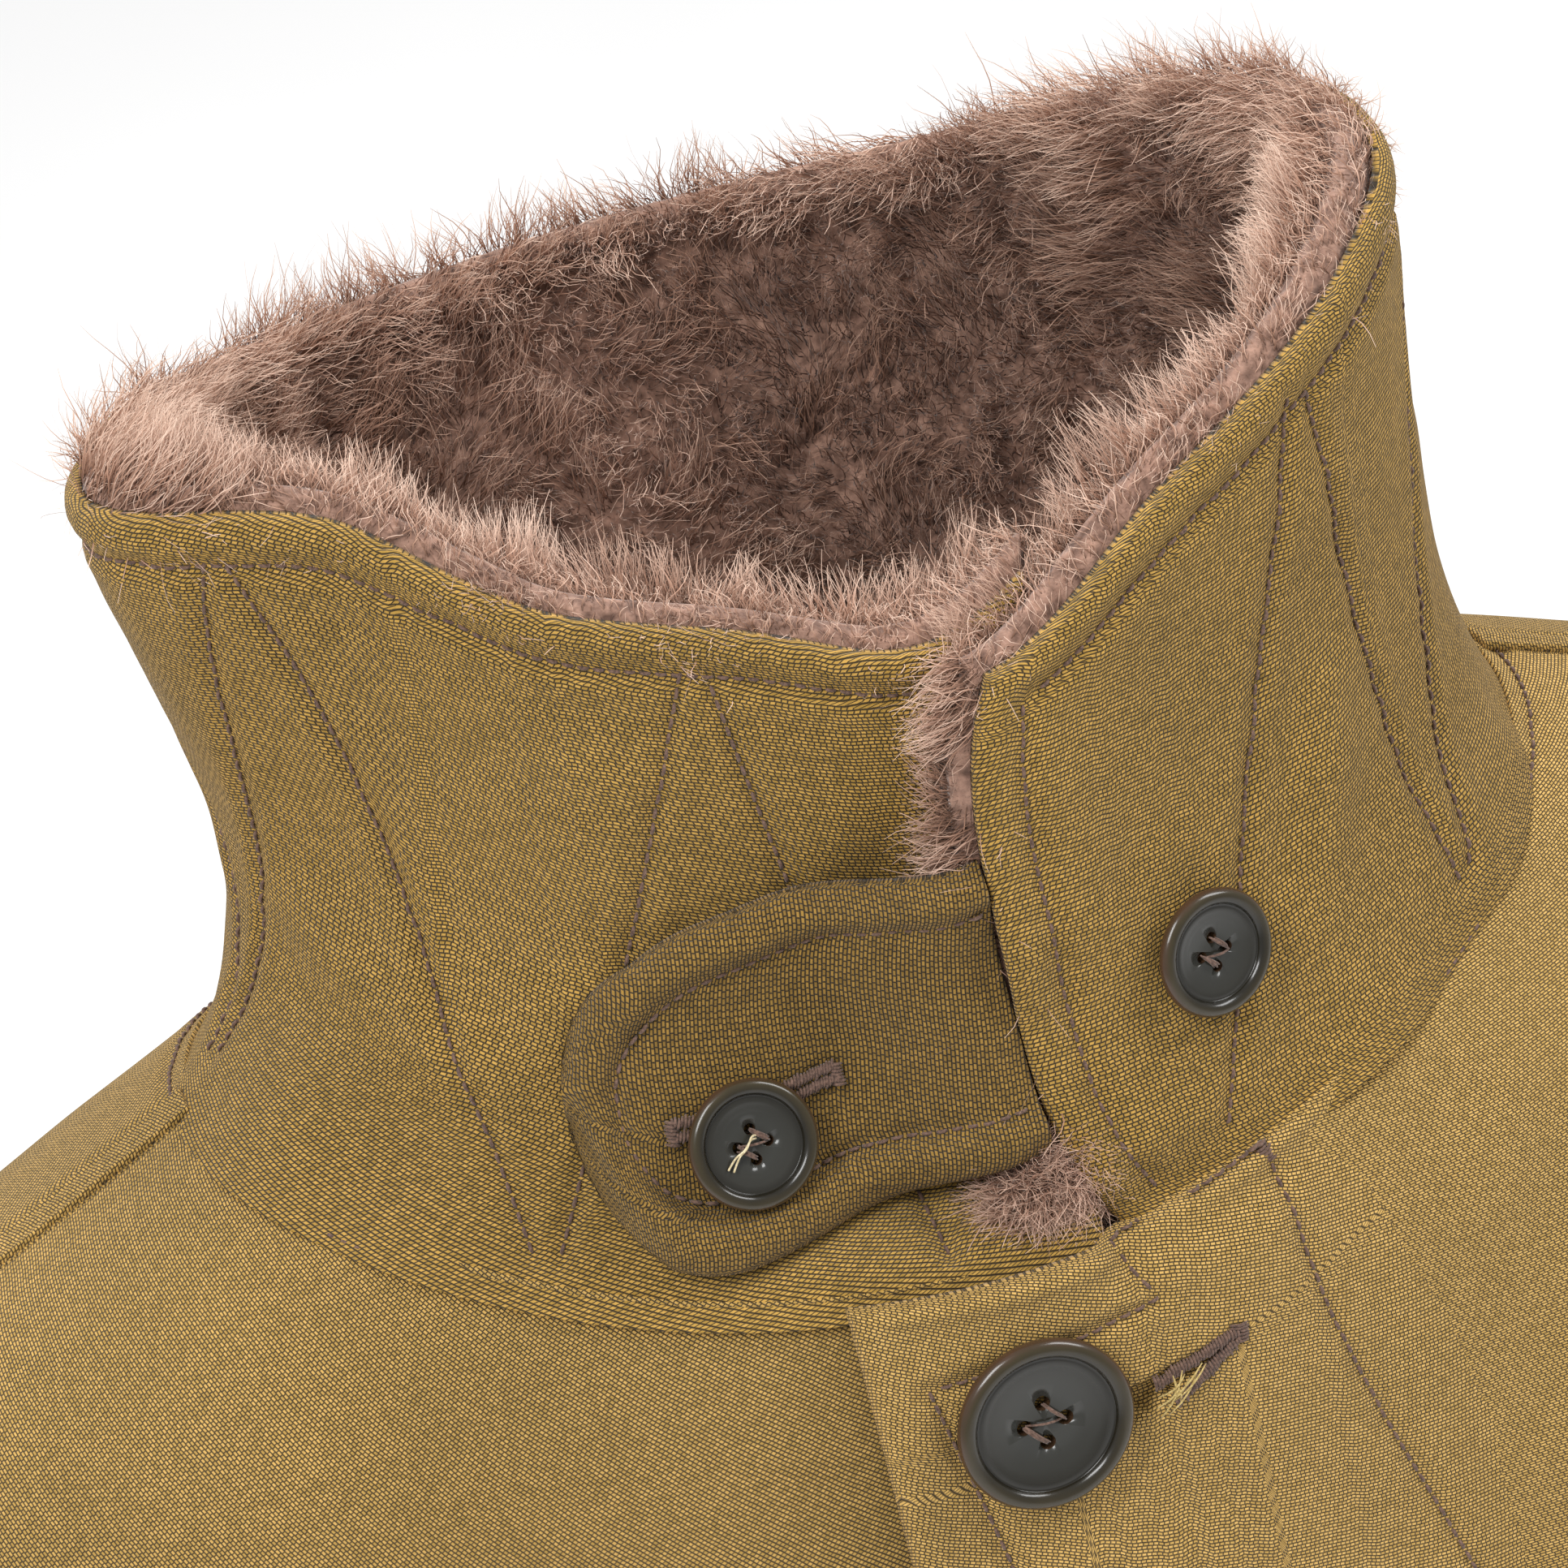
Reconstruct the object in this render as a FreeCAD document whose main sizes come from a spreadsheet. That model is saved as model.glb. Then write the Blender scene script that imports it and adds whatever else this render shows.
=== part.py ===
import FreeCAD, Part
import math
import os
from FreeCAD import Placement, Rotation, Vector

# A pile-lined work jacket with a standing collar, closed by a zip under a buttoned storm flap.
# Millimetres. Every cloth surface is worked out in the neck frame: its origin is the middle of
# the neck opening at the height of the front neck seam, +Z up, front towards -Y, +X to the
# wearer's left. The finished model is moved so that the hanger loop's bearing point is (0, 0, 0).

doc = FreeCAD.newDocument("deck_jacket")
sheet = doc.addObject("Spreadsheet::Sheet", "Sizes")

SIZES = {
    "neck_half_width": 109.0,        # neck seam, middle to side
    "neck_depth": 73.0,              # neck seam, middle to front and to back
    "neck_side_rise": 27.0,          # how far the seam climbs from the front to the shoulders
    "neck_back_rise": 5.0,
    "front_dip": 9.0,                # how far the collar's top edge dips at the front
    "collar_overlap": 10.0,          # how far the right end runs under the left one, degrees
    "collar_tuck": 9.5,              # right end inside the collar's line
    "collar_ride": 5.0,              # left end outside the collar's line
    "tab_root_level": 2.6,
    "tab_lift": 1.6,
    "tab_thick": 3.0,
    "shell_thick": 1.6,              # outer cloth with its interlining
    "pile_gap": 0.4,
    "pile_thick": 8.0,
    "front_slope": 0.124,            # forward lean of the front edge, per millimetre down
    "zip_x": 10.0,                   # closing line, to the wearer's left of the middle
    "zip_gap": 8.0,                  # cloth edge to closing line
    "zip_inset": 7.0,                # zip behind the line of the front
    "zip_top": -14.0,
    "zip_bottom": -590.0,
    "tooth_pitch": 4.0,
    "tape_width": 13.0,
    "slider_width": 11.0,
    "slider_height": 13.0,
    "pull_length": 22.0,
    "flap_free_x": -34.0,
    "flap_fold_x": 26.0,             # where the stiff flap ends and its sewn root begins
    "flap_seam_x": 50.0,
    "flap_lift": 3.2,                # inner face of the flap above the front
    "flap_thick": 2.6,
    "front_button": 28.0,
    "front_button_thick": 4.2,
    "front_button_x": -10.5,
    "front_button_first": -22.5,
    "front_button_pitch": 115.0,
    "collar_button": 20.0,
    "collar_button_thick": 3.6,
    "hole_play": 1.0,                # a spread buttonhole is this much larger all round
    "thread_radius": 1.6,
    "loop_half_span": 32.0,
    "loop_rise": 14.0,
    "loop_width": 8.0,
    "loop_thick": 1.6,
    "welt_width": 28.0,
    "welt_thick": 3.0,
}
for row, (alias, value) in enumerate(SIZES.items(), start=1):
    sheet.set(f"A{row}", alias)
    sheet.set(f"B{row}", str(value))
    sheet.setAlias(f"B{row}", alias)
doc.recompute()


def size(alias):
    return float(sheet.get(alias))


FRONT_BUTTONS = 5
LOOP_POINT = Vector(0, 52, 12)       # underside of the hanger loop in the neck frame
ORIGIN_SHIFT = LOOP_POINT * -1

# Rings of the body from the neck seam to the hem: half width, front depth, back depth, height
# at the front, at the side and at the back, and squareness (2 is an ellipse).
BODY_RINGS = [
    (109, 73, 73, 0, 27, 5, 2.00),
    (140, 77, 84, -28, 13, -18, 2.05),
    (180, 82, 98, -62, -5, -50, 2.15),
    (213, 88, 108, -98, -25, -86, 2.30),
    (229, 94, 116, -132, -58, -124, 2.45),
    (232, 101, 122, -175, -120, -170, 2.50),
    (229, 107, 125, -235, -225, -235, 2.45),
    (227, 119, 127, -330, -330, -330, 2.40),
    (229, 134, 130, -450, -450, -450, 2.40),
    (233, 148, 134, -560, -560, -560, 2.40),
    (236, 156, 137, -630, -630, -630, 2.40),
]
# Rings of the left sleeve from the armhole to the cuff: top x, top height, bottom x, bottom
# height, half depth, and how far back its middle lies.
SLEEVE_RINGS = [
    (206, -29, 206, -209, 62, 8),
    (232, -32, 228, -210, 62, 8),
    (268, -50, 232, -214, 69, 8),
    (304, -90, 234, -222, 71, 8),
    (332, -146, 236, -236, 70, 8),
    (352, -212, 241, -262, 68, 6),
    (374, -308, 262, -345, 65, 3),
    (395, -398, 288, -430, 61, -2),
    (415, -486, 316, -513, 57, -8),
    (433, -567, 344, -590, 52, -14),
    (443, -618, 357, -640, 49, -18),
]
# Shape of the collar every 30 degrees from the front round by the wearer's left: outward lean
# of the top edge, depth of the waist, and height.
COLLAR_SHAPE = [
    (-20.5, 6.5, 98.5),
    (-14.0, 4.5, 103.0),
    (-8.0, 5.0, 106.0),
    (-7.0, 6.0, 102.0),
    (-3.0, 6.5, 101.0),
    (18.0, 7.5, 93.0),
    (34.0, 10.0, 89.0),
    (27.0, 12.0, 91.0),
    (2.0, 10.0, 100.0),
    (-7.0, 14.0, 104.0),
    (-29.0, 12.5, 107.0),
    (-29.0, 9.5, 101.5),
]
COLLAR_STEP = 30                     # degrees between its rows
COLLAR_LOOP = COLLAR_SHAPE[-1:] + COLLAR_SHAPE + COLLAR_SHAPE[:2]
HEAD_END = 4                         # ring where the sleeve head meets the sleeve
CUFF_END = 10


def between(rows, step, column):
    """Smooth value of a column at a fractional row, by a Catmull-Rom curve."""
    last = len(rows) - 1
    step = min(max(step, 0.0), float(last))
    index = min(int(step), last - 1)
    part = step - index
    before = rows[max(index - 1, 0)][column]
    start = rows[index][column]
    end = rows[index + 1][column]
    after = rows[min(index + 2, last)][column]
    slope_start = (end - before) / 2
    slope_end = (after - start) / 2
    square = part * part
    cube = square * part
    return (start * (2 * cube - 3 * square + 1) + slope_start * (cube - 2 * square + part)
            + end * (3 * square - 2 * cube) + slope_end * (cube - square))


def body_point(degrees, step):
    """Outer face of the body: 0 degrees is the front, +90 the wearer's left side."""
    width, front, back, z_front, z_side, z_back, square = [
        between(BODY_RINGS, step, column) for column in range(7)]
    cosine = math.cos(math.radians(degrees))
    sine = math.sin(math.radians(degrees))
    reach = (abs(cosine) ** square + abs(sine) ** square) ** (-1 / square)
    depth = front if cosine > 0 else back
    height = z_front if cosine > 0 else z_back
    return Vector(width * sine * reach, -depth * cosine * reach,
                  z_side + (height - z_side) * cosine * cosine)


def smooth(value):
    value = min(max(value, 0.0), 1.0)
    return value * value * (3 - 2 * value)


def end_aside(degrees):
    """Overlap of the collar's ends: the left end rides outside, the right end tucks inside."""
    if degrees > -180:
        return -size("collar_tuck") * smooth((degrees + 38) / 34)
    return size("collar_ride") * smooth((-degrees - 330) / 28)


def collar_at(degrees, share, aside):
    """Outer face of the collar: share 0 is the neck seam and 1 the top edge."""
    turn = math.radians(degrees)
    cosine, sine = math.cos(turn), math.sin(turn)
    half_width, depth = size("neck_half_width"), size("neck_depth")
    rise = size("neck_side_rise")
    end_rise = 0 if cosine > 0 else size("neck_back_rise")
    seam = Vector(half_width * sine, -depth * cosine, rise + (end_rise - rise) * cosine * cosine)
    outward = Vector(sine / half_width, -cosine / depth, 0)
    outward.normalize()
    place = 1 + (degrees % 360) / COLLAR_STEP
    flare, waist, height = [between(COLLAR_LOOP, place, column) for column in range(3)]
    front_dip = math.exp(-((math.degrees(math.atan2(sine, cosine)) - 4) / 13) ** 2)
    height = height - size("front_dip") * front_dip
    lean = flare * share * (share * (3 - 2 * share) + 1) / 2
    pinch = waist * 6.75 * share * (1 - share) ** 2
    return seam + outward * (lean - pinch + aside) + Vector(0, 0, height * share)


def collar_point(across, along):
    """The collar from its right end, round the back, to its left end."""
    right_end = 4 + size("collar_overlap") * smooth(along / 0.2)
    left_end = 1.5 + 4 * (2 * along - 1) ** 4 - 360
    degrees = right_end + (left_end - right_end) * across
    return collar_at(degrees, along, end_aside(degrees) * smooth(along / 0.12))


def tab_point(across, along):
    """The collar tab from its sewn root at the left end to its round tip on the right side."""
    degrees = 1.5 - 41 * along
    middle = 0.42 - 0.17 * min(along / 0.8, 1)
    half = 0.26 - 0.03 * along
    if along > 0.62:
        half = half * math.sqrt(1 - ((along - 0.62) / 0.385) ** 2)
    share = middle + half * (1 - 2 * across)
    resting = end_aside(degrees) * smooth(share / 0.12) + size("tab_lift")
    level = size("tab_root_level") + (resting - size("tab_root_level")) * smooth(along / 0.45)
    return collar_at(degrees, share, level)


def sleeve_point(degrees, step):
    """Outer face of the left sleeve: 0 degrees is its top line, 90 its back."""
    top_x, top_z, low_x, low_z, depth, back = [
        between(SLEEVE_RINGS, step, column) for column in range(6)]
    cosine = math.cos(math.radians(degrees))
    sine = math.sin(math.radians(degrees))
    middle = Vector((top_x + low_x) / 2, back, (top_z + low_z) / 2)
    arm = Vector((top_x - low_x) / 2, 0, (top_z - low_z) / 2)
    return middle + arm * cosine + Vector(0, depth * sine, 0)


def lifted(surface, across, along, lift, flip):
    """A point of a surface moved along its own normal."""
    tiny = 1e-3
    here = surface(across, along)
    side = surface(across + tiny, along) - surface(across - tiny, along)
    down = surface(across, along + tiny) - surface(across, along - tiny)
    normal = side.cross(down) * flip
    normal.normalize()
    return here + normal * lift


def spline_face(rows):
    surface = Part.BSplineSurface()
    surface.interpolate(rows)
    return surface


def cloth_solid(surface, outer, inner, across_count, along_count, flip=1):
    """A sheet of cloth between two lifts of a surface whose corners are (0, 0) and (1, 1)."""
    faces = []
    for lift in (outer, inner):
        rows = [[lifted(surface, 0.002 + 0.996 * i / (across_count - 1),
                        0.002 + 0.996 * j / (along_count - 1), lift, flip)
                 for j in range(along_count)] for i in range(across_count)]
        faces.append(spline_face(rows))
    top, bottom = faces
    u_low, u_high, v_low, v_high = top.bounds()
    walls = []
    for value in (u_low, u_high):
        walls.append(Part.makeRuledSurface(top.uIso(value).toShape(), bottom.uIso(value).toShape()))
    for value in (v_low, v_high):
        walls.append(Part.makeRuledSurface(top.vIso(value).toShape(), bottom.vIso(value).toShape()))
    shell = Part.makeShell([top.toShape(), bottom.toShape()] + walls)
    shell.sewShape()
    solid = Part.Solid(shell)
    if solid.Volume < 0:
        solid.reverse()
    return solid


def keep(name, shape):
    """Store a shape made in the neck frame as a sub-part of the model."""
    feature = doc.addObject("Part::Feature", name)
    feature.Label = name
    solids = shape.Solids
    feature.Shape = solids[0] if len(solids) == 1 else Part.makeCompound(solids)
    feature.Placement = Placement(ORIGIN_SHIFT, Rotation())
    parts.append(feature)
    return feature


def mirrored(shape):
    return shape.mirror(Vector(0, 0, 0), Vector(1, 0, 0))


parts = []
SHELL = -size("shell_thick")
PILE_OUT = SHELL - size("pile_gap")
PILE_IN = PILE_OUT - size("pile_thick")
BAG_OUT = PILE_OUT
BAG_IN = BAG_OUT - 2.0
FRONT_PILE_OUT = BAG_IN - 0.6
FRONT_PILE_IN = FRONT_PILE_OUT - size("pile_thick")
HEM = len(BODY_RINGS) - 1


# Body panels: outer cloth, pile lining and hem facing

def degrees_at(side_x, step):
    """Angle at which the body's surface crosses a distance from the middle."""
    return math.degrees(math.asin(side_x / between(BODY_RINGS, step, 0)))


def panel(first_x, first_degrees, last_x, last_degrees, top=0, bottom=HEM):
    """A surface between two edges, each at a fixed distance from the middle or a fixed angle."""
    def surface(across, along):
        step = top + (bottom - top) * along
        first = first_degrees if first_x is None else degrees_at(first_x, step)
        last = last_degrees if last_x is None else degrees_at(last_x, step)
        return body_point(first + (last - first) * across, step)
    return surface


def armhole(play):
    """A cutter through the left armhole."""
    ellipse = Part.Ellipse(Vector(0, 0, 0), 91 + play, 62 + play)
    face = Part.Face(Part.Wire(ellipse.toShape()))
    face.Placement = Placement(Vector(180, 8, -119), Rotation(Vector(0, 1, 0), 90))
    return face.extrude(Vector(90, 0, 0))


armholes = armhole(1).fuse(mirrored(armhole(1)))
zip_x = size("zip_x")
cloth_edge = size("zip_gap")
pile_edge = cloth_edge + 9

front_right = cloth_solid(panel(None, -90, zip_x - cloth_edge, None), 0, SHELL, 13, 22, -1)
front_left = cloth_solid(panel(zip_x + cloth_edge, None, None, 90), 0, SHELL, 13, 22, -1)
back = cloth_solid(panel(None, 90.3, None, 269.7), 0, SHELL, 25, 22, -1)
keep("front_panel_right", front_right.cut(armholes))
keep("front_panel_left", front_left.cut(armholes))
keep("back_panel", back.cut(armholes))

lining_bottom = HEM - 0.7
pile_right = cloth_solid(panel(None, -89, zip_x - pile_edge, None, 0.1, lining_bottom),
                         FRONT_PILE_OUT, FRONT_PILE_IN, 13, 22, -1)
pile_left = cloth_solid(panel(zip_x + pile_edge, None, None, 89, 0.1, lining_bottom),
                        FRONT_PILE_OUT, FRONT_PILE_IN, 13, 22, -1)
pile_back = cloth_solid(panel(None, 92, None, 268, 0.1, lining_bottom), PILE_OUT, PILE_IN, 25, 22, -1)
keep("front_lining_right", pile_right.cut(armholes))
keep("front_lining_left", pile_left.cut(armholes))
keep("back_lining", pile_back.cut(armholes))


def hem_facing_surface(across, along):
    step = HEM - 0.62 + 0.62 * along
    first = degrees_at(zip_x + pile_edge, step)
    last = degrees_at(zip_x - pile_edge, step) + 360
    return body_point(first + (last - first) * across, step)


keep("hem_facing", cloth_solid(hem_facing_surface, PILE_OUT, PILE_OUT - 1.4, 60, 4, -1))


# Collar: outer cloth, pile lining and button tab

COLLAR_PILE_END = 0.010              # share of the collar's length left free of pile at each end
COLLAR_PILE_FOOT = 0.09              # share of its height left free above the neck seam
COLLAR_PILE_TOP = 0.985
COLLAR_PILE_OUT = PILE_OUT - 0.6


def pile_collar_point(across, along):
    across = COLLAR_PILE_END + (1 - 2 * COLLAR_PILE_END) * across
    along = COLLAR_PILE_FOOT + (COLLAR_PILE_TOP - COLLAR_PILE_FOOT) * along
    return collar_point(across, along)


keep("collar_shell", cloth_solid(collar_point, 0, SHELL, 73, 11, -1))
keep("collar_lining", cloth_solid(pile_collar_point, COLLAR_PILE_OUT, PILE_IN, 73, 11, -1))


def normal_frame(surface, across, along, flip, lift=0.0):
    """A placement whose +Z leaves the surface at right angles, with +X level."""
    foot = lifted(surface, across, along, lift, flip)
    out = lifted(surface, across, along, lift + 1, flip) - foot
    level = Vector(0, 0, 1).cross(out)
    level.normalize()
    rotation = Rotation(level, out.cross(level), out, "ZXY")
    return Placement(foot + ORIGIN_SHIFT, rotation)


def shifted(placement, rise):
    """The same placement, further out along its own +Z."""
    return placement.multiply(Placement(Vector(0, 0, rise), Rotation()))


def bore_cutter(placement, radius):
    cylinder = Part.makeCylinder(radius, 24, Vector(0, 0, -12))
    cylinder.Placement = Placement(ORIGIN_SHIFT * -1, Rotation()).multiply(placement)
    return cylinder


TAB_BUTTON = (0.685, 0.61)            # place of the button on the tab, across and along
tab_frame = normal_frame(tab_point, TAB_BUTTON[0], TAB_BUTTON[1], -1)
tab_hole = bore_cutter(tab_frame, size("collar_button") / 2 + size("hole_play"))
TAB_START = 0.07                     # share of the tab's length sewn down as a bending root


def stiff_tab(across, along):
    return tab_point(across, TAB_START + (1 - TAB_START) * along)


def tab_root(across, along):
    return tab_point(across, (TAB_START - 0.008) * along)


tab = cloth_solid(stiff_tab, size("tab_thick"), 0, 9, 17, -1)
keep("collar_tab", tab.cut(tab_hole))
keep("collar_tab_root", cloth_solid(tab_root, size("tab_thick"), 0, 9, 4, -1))


# Storm flap: the stiff part swings, its sewn root bends

def flap_surface(first, last):
    def surface(across, along):
        step = 0.06 + (HEM - 0.16) * along
        side_x = first + (last - first) * across
        return body_point(degrees_at(side_x, step), step)
    return surface


flap_low = size("flap_lift")
flap_high = flap_low + size("flap_thick")
stiff_flap = flap_surface(size("flap_free_x"), size("flap_fold_x"))
flap_root = flap_surface(size("flap_fold_x") + 0.4, size("flap_seam_x"))



def share_at(surface, across, height):
    """How far along a falling surface it reaches a height, by halving the range."""
    low, high = 0.0, 1.0
    while high - low > 1e-6:
        middle = (low + high) / 2
        if surface(across, middle).z > height:
            low = middle
        else:
            high = middle
    return low


button_frames = []
button_across = ((size("front_button_x") - size("flap_free_x"))
                 / (size("flap_fold_x") - size("flap_free_x")))
flap = cloth_solid(stiff_flap, flap_high, flap_low, 9, 24, -1)
for number in range(FRONT_BUTTONS):
    height = size("front_button_first") - number * size("front_button_pitch")
    share = share_at(stiff_flap, button_across, height)
    frame = normal_frame(stiff_flap, button_across, share, -1)
    button_frames.append(frame)
    flap = flap.cut(bore_cutter(frame, size("front_button") / 2 + size("hole_play")))
keep("storm_flap", flap)
keep("storm_flap_root", cloth_solid(flap_root, flap_high, 0.3, 5, 24, -1))


# Sleeves: head, cloth, lining and knitted cuff

def sleeve_wire(step, shrink):
    points = []
    for degrees in range(0, 360, 20):
        middle = (sleeve_point(0, step) + sleeve_point(180, step)) * 0.5
        rim = sleeve_point(degrees, step) - middle
        points.append(middle + rim * ((rim.Length - shrink) / rim.Length))
    curve = Part.BSplineCurve()
    curve.interpolate(points, PeriodicFlag=True)
    return Part.Wire(curve.toShape())


def sleeve_tube(first, last, outer, inner, count):
    """A hollow length of the left sleeve between two ring numbers."""
    steps = [first + (last - first) * number / (count - 1) for number in range(count)]
    solids = [Part.makeLoft([sleeve_wire(step, shrink) for step in steps], True)
              for shrink in (outer, inner)]
    return solids[0].cut(solids[1])


SLEEVE_PIECES = {
    "sleeve_head": (0.0, HEAD_END - 0.02, 0, 5.0, 7),
    "sleeve": (HEAD_END + 0.02, CUFF_END, 0, -SHELL, 8),
    "sleeve_lining": (HEAD_END + 0.05, CUFF_END - 0.75, -PILE_OUT, -PILE_IN + 1, 7),
    "knit_cuff": (CUFF_END - 0.7, CUFF_END - 0.02, 2.8, 5.8, 5),
}
for name, measures in SLEEVE_PIECES.items():
    tube = sleeve_tube(*measures)
    keep(name + "_left", tube)
    keep(name + "_right", mirrored(tube))


# Pockets: a slanted welt outside each front and an empty bag between cloth and lining

def pocket_surface(front_reach, back_reach, top_step, bottom_step):
    def surface(across, along):
        step = top_step + (bottom_step - top_step) * along
        middle = 44 + 9 * (step - 7)
        return body_point(middle - front_reach + (front_reach + back_reach) * across, step)
    return surface


welt_reach = size("welt_width") / 8
welt = cloth_solid(pocket_surface(welt_reach, welt_reach, 7.0, 8.35),
                   0.3 + size("welt_thick"), 0.3, 5, 9, -1)
bag = cloth_solid(pocket_surface(26, 1, 7.05, 8.9), BAG_OUT, BAG_IN, 9, 9, -1)
for name, shape in (("pocket_welt", welt), ("pocket_bag", bag)):
    keep(name + "_left", shape)
    keep(name + "_right", mirrored(shape))


# Shoulder seams, felled towards the back

def shoulder_seam_point(across, along):
    return body_point(90.5 + 5 * across * (1 - 0.35 * along), 0.05 + 2.85 * along)


seam_strip = cloth_solid(shoulder_seam_point, 1.1, 0.2, 4, 8, -1)
keep("shoulder_seam_left", seam_strip)
keep("shoulder_seam_right", mirrored(seam_strip))


# Hanger loop at the back of the neck

half_span = size("loop_half_span")
loop_rise = size("loop_rise")
loop_radius = (half_span ** 2 + loop_rise ** 2) / (2 * loop_rise)
loop_thick = size("loop_thick")
loop_half_angle = math.degrees(math.asin(half_span / loop_radius))
loop_middle = Vector(0, LOOP_POINT.y - size("loop_width") / 2, LOOP_POINT.z - loop_radius)
outer_disc = Part.makeCylinder(loop_radius + loop_thick, size("loop_width"), loop_middle,
                               Vector(0, 1, 0))
inner_disc = Part.makeCylinder(loop_radius, size("loop_width"), loop_middle, Vector(0, 1, 0))
loop_box = Part.makeBox(2 * half_span, size("loop_width"), loop_rise + 2 * loop_thick,
                        Vector(-half_span, loop_middle.y, LOOP_POINT.z - loop_rise))
keep("hanger_loop", outer_disc.cut(inner_disc).common(loop_box))


# Zip: straight chain behind the fronts, in a frame whose -Z runs down the closing line

slope = size("front_slope")
zip_lean = -math.degrees(math.atan(slope))
zip_top = size("zip_top")
zip_length = (zip_top - size("zip_bottom")) * math.sqrt(1 + slope ** 2)
zip_foot = Vector(zip_x, -size("neck_depth") + slope * zip_top + size("zip_inset"), zip_top)
ZIP_FRAME = Placement(zip_foot + ORIGIN_SHIFT, Rotation(Vector(1, 0, 0), zip_lean))
TOOTH_ROOT = 3.2                     # back of the teeth from the closing line
TOOTH_TIP = 0.7                      # the two rows stand apart so that the slider's post passes
TOOTH_HALF = 1.5                     # half the chain's thickness


def comb(side):
    """One row of teeth on its edge cord, as a single comb-shaped piece."""
    pitch = size("tooth_pitch")
    outline = [Vector(side * TOOTH_ROOT, 0, -zip_length)]
    outline.append(Vector(side * TOOTH_ROOT, 0, 0))
    neck = side * (TOOTH_ROOT - 1.1)
    offset = 0 if side > 0 else pitch / 2
    for number in range(int(zip_length / pitch) - 1):
        top = -offset - number * pitch - 0.6
        for reach, level in ((neck, top), (side * TOOTH_TIP, top - 0.3),
                             (side * TOOTH_TIP, top - 1.9), (neck, top - 2.2)):
            outline.append(Vector(reach, 0, level))
    outline.append(Vector(neck, 0, -zip_length))
    outline.append(outline[0])
    face = Part.Face(Part.makePolygon(outline))
    teeth = face.extrude(Vector(0, 2 * TOOTH_HALF, 0))
    teeth.translate(Vector(0, -TOOTH_HALF, 0))
    return teeth


def keep_on_zip(name, feature):
    feature.Label = name
    feature.Placement = ZIP_FRAME.multiply(feature.Placement)
    parts.append(feature)
    return feature


def bound_box(name, sizes, corner):
    """A box whose sides are formulas on the sheet."""
    box = doc.addObject("Part::Box", name)
    for side, formula in zip(("Length", "Width", "Height"), sizes):
        box.setExpression(side, formula)
    box.Placement = Placement(corner, Rotation())
    return box


TAPE_THICK = 0.8
STOP_HEIGHT = 5.0
for side, name in ((1, "left"), (-1, "right")):
    teeth = doc.addObject("Part::Feature", f"zip_teeth_{name}")
    teeth.Shape = comb(side)
    keep_on_zip(f"zip_teeth_{name}", teeth)
    near = TOOTH_ROOT + 0.1
    left_corner = near if side > 0 else -near - size("tape_width")
    tape = bound_box(f"zip_tape_{name}", ("Sizes.tape_width", str(TAPE_THICK), str(zip_length + 6)),
                     Vector(left_corner, -TAPE_THICK / 2, -zip_length - 4))
    keep_on_zip(f"zip_tape_{name}", tape)

stop = bound_box("zip_bottom_box", ("2 * 6.2", "4.2", str(STOP_HEIGHT)),
                 Vector(-6.2, -2.1, -zip_length - STOP_HEIGHT - 4.2))
keep_on_zip("zip_bottom_box", stop)


# Slider: two plates joined by a post in the gap of the chain, with a lug for the pull

SLIDER_DROP = 4.0                    # slider's top edge below the chain's top
PLATE_NEAR = TOOTH_HALF + 0.6
PLATE_THICK = 1.2
POST_HALF = 0.45
LUG_HALF = 1.3
LUG_RISE = 3.6
PIN_RADIUS = 0.9
PIN_PLAY = 0.1
PIN_POINT = Vector(0, -PLATE_NEAR - PLATE_THICK - 2.0, -SLIDER_DROP - 6)


def slider_shape():
    width, height = size("slider_width"), size("slider_height")
    top = -SLIDER_DROP
    plates = [Part.makeBox(width, PLATE_THICK, height, Vector(-width / 2, near, top - height))
              for near in (PLATE_NEAR, -PLATE_NEAR - PLATE_THICK)]
    post = Part.makeBox(2 * POST_HALF, 2 * PLATE_NEAR + 0.4, 4,
                        Vector(-POST_HALF, -PLATE_NEAR - 0.2, top - 5))
    lug = Part.makeBox(2 * LUG_HALF, LUG_RISE, 6,
                       Vector(-LUG_HALF, -PLATE_NEAR - PLATE_THICK - LUG_RISE + 0.2, top - 9))
    hole = Part.makeCylinder(PIN_RADIUS + PIN_PLAY, 10, Vector(-5, PIN_POINT.y, PIN_POINT.z),
                             Vector(1, 0, 0))
    body = plates[0].fuse([plates[1], post, lug]).removeSplitter()
    rounded = [edge for edge in body.Edges
               if edge.Length > width - 0.1 and edge.BoundBox.ZLength < 0.1]
    return body.makeFillet(0.4, rounded).cut(hole)


def pull_shape():
    """A flat tab hanging from a pin by two ears."""
    reach = LUG_HALF + 0.3
    ear = 1.2
    length = size("pull_length")
    pin = Part.makeCylinder(PIN_RADIUS, 2 * (reach + ear), PIN_POINT - Vector(reach + ear, 0, 0),
                            Vector(1, 0, 0))
    shape = pin
    for start in (-reach - ear, reach):
        shape = shape.fuse(Part.makeBox(ear, 1.6, 7, PIN_POINT + Vector(start, -0.8, -6.2)))
    blade = Part.makeBox(2 * (reach + ear), 1.6, length - 5,
                         PIN_POINT + Vector(-reach - ear, -0.8, -length))
    hole = Part.makeCylinder(1.3, 4, PIN_POINT + Vector(0, -2, -length + 3), Vector(0, 1, 0))
    return shape.fuse(blade).cut(hole).removeSplitter()


for name, shape in (("zip_slider", slider_shape()), ("zip_pull", pull_shape())):
    feature = doc.addObject("Part::Feature", name)
    feature.Shape = shape
    keep_on_zip(name, feature)


# Buttons: a dished disc with a rolled rim and four holes, on a wound thread shank

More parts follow.
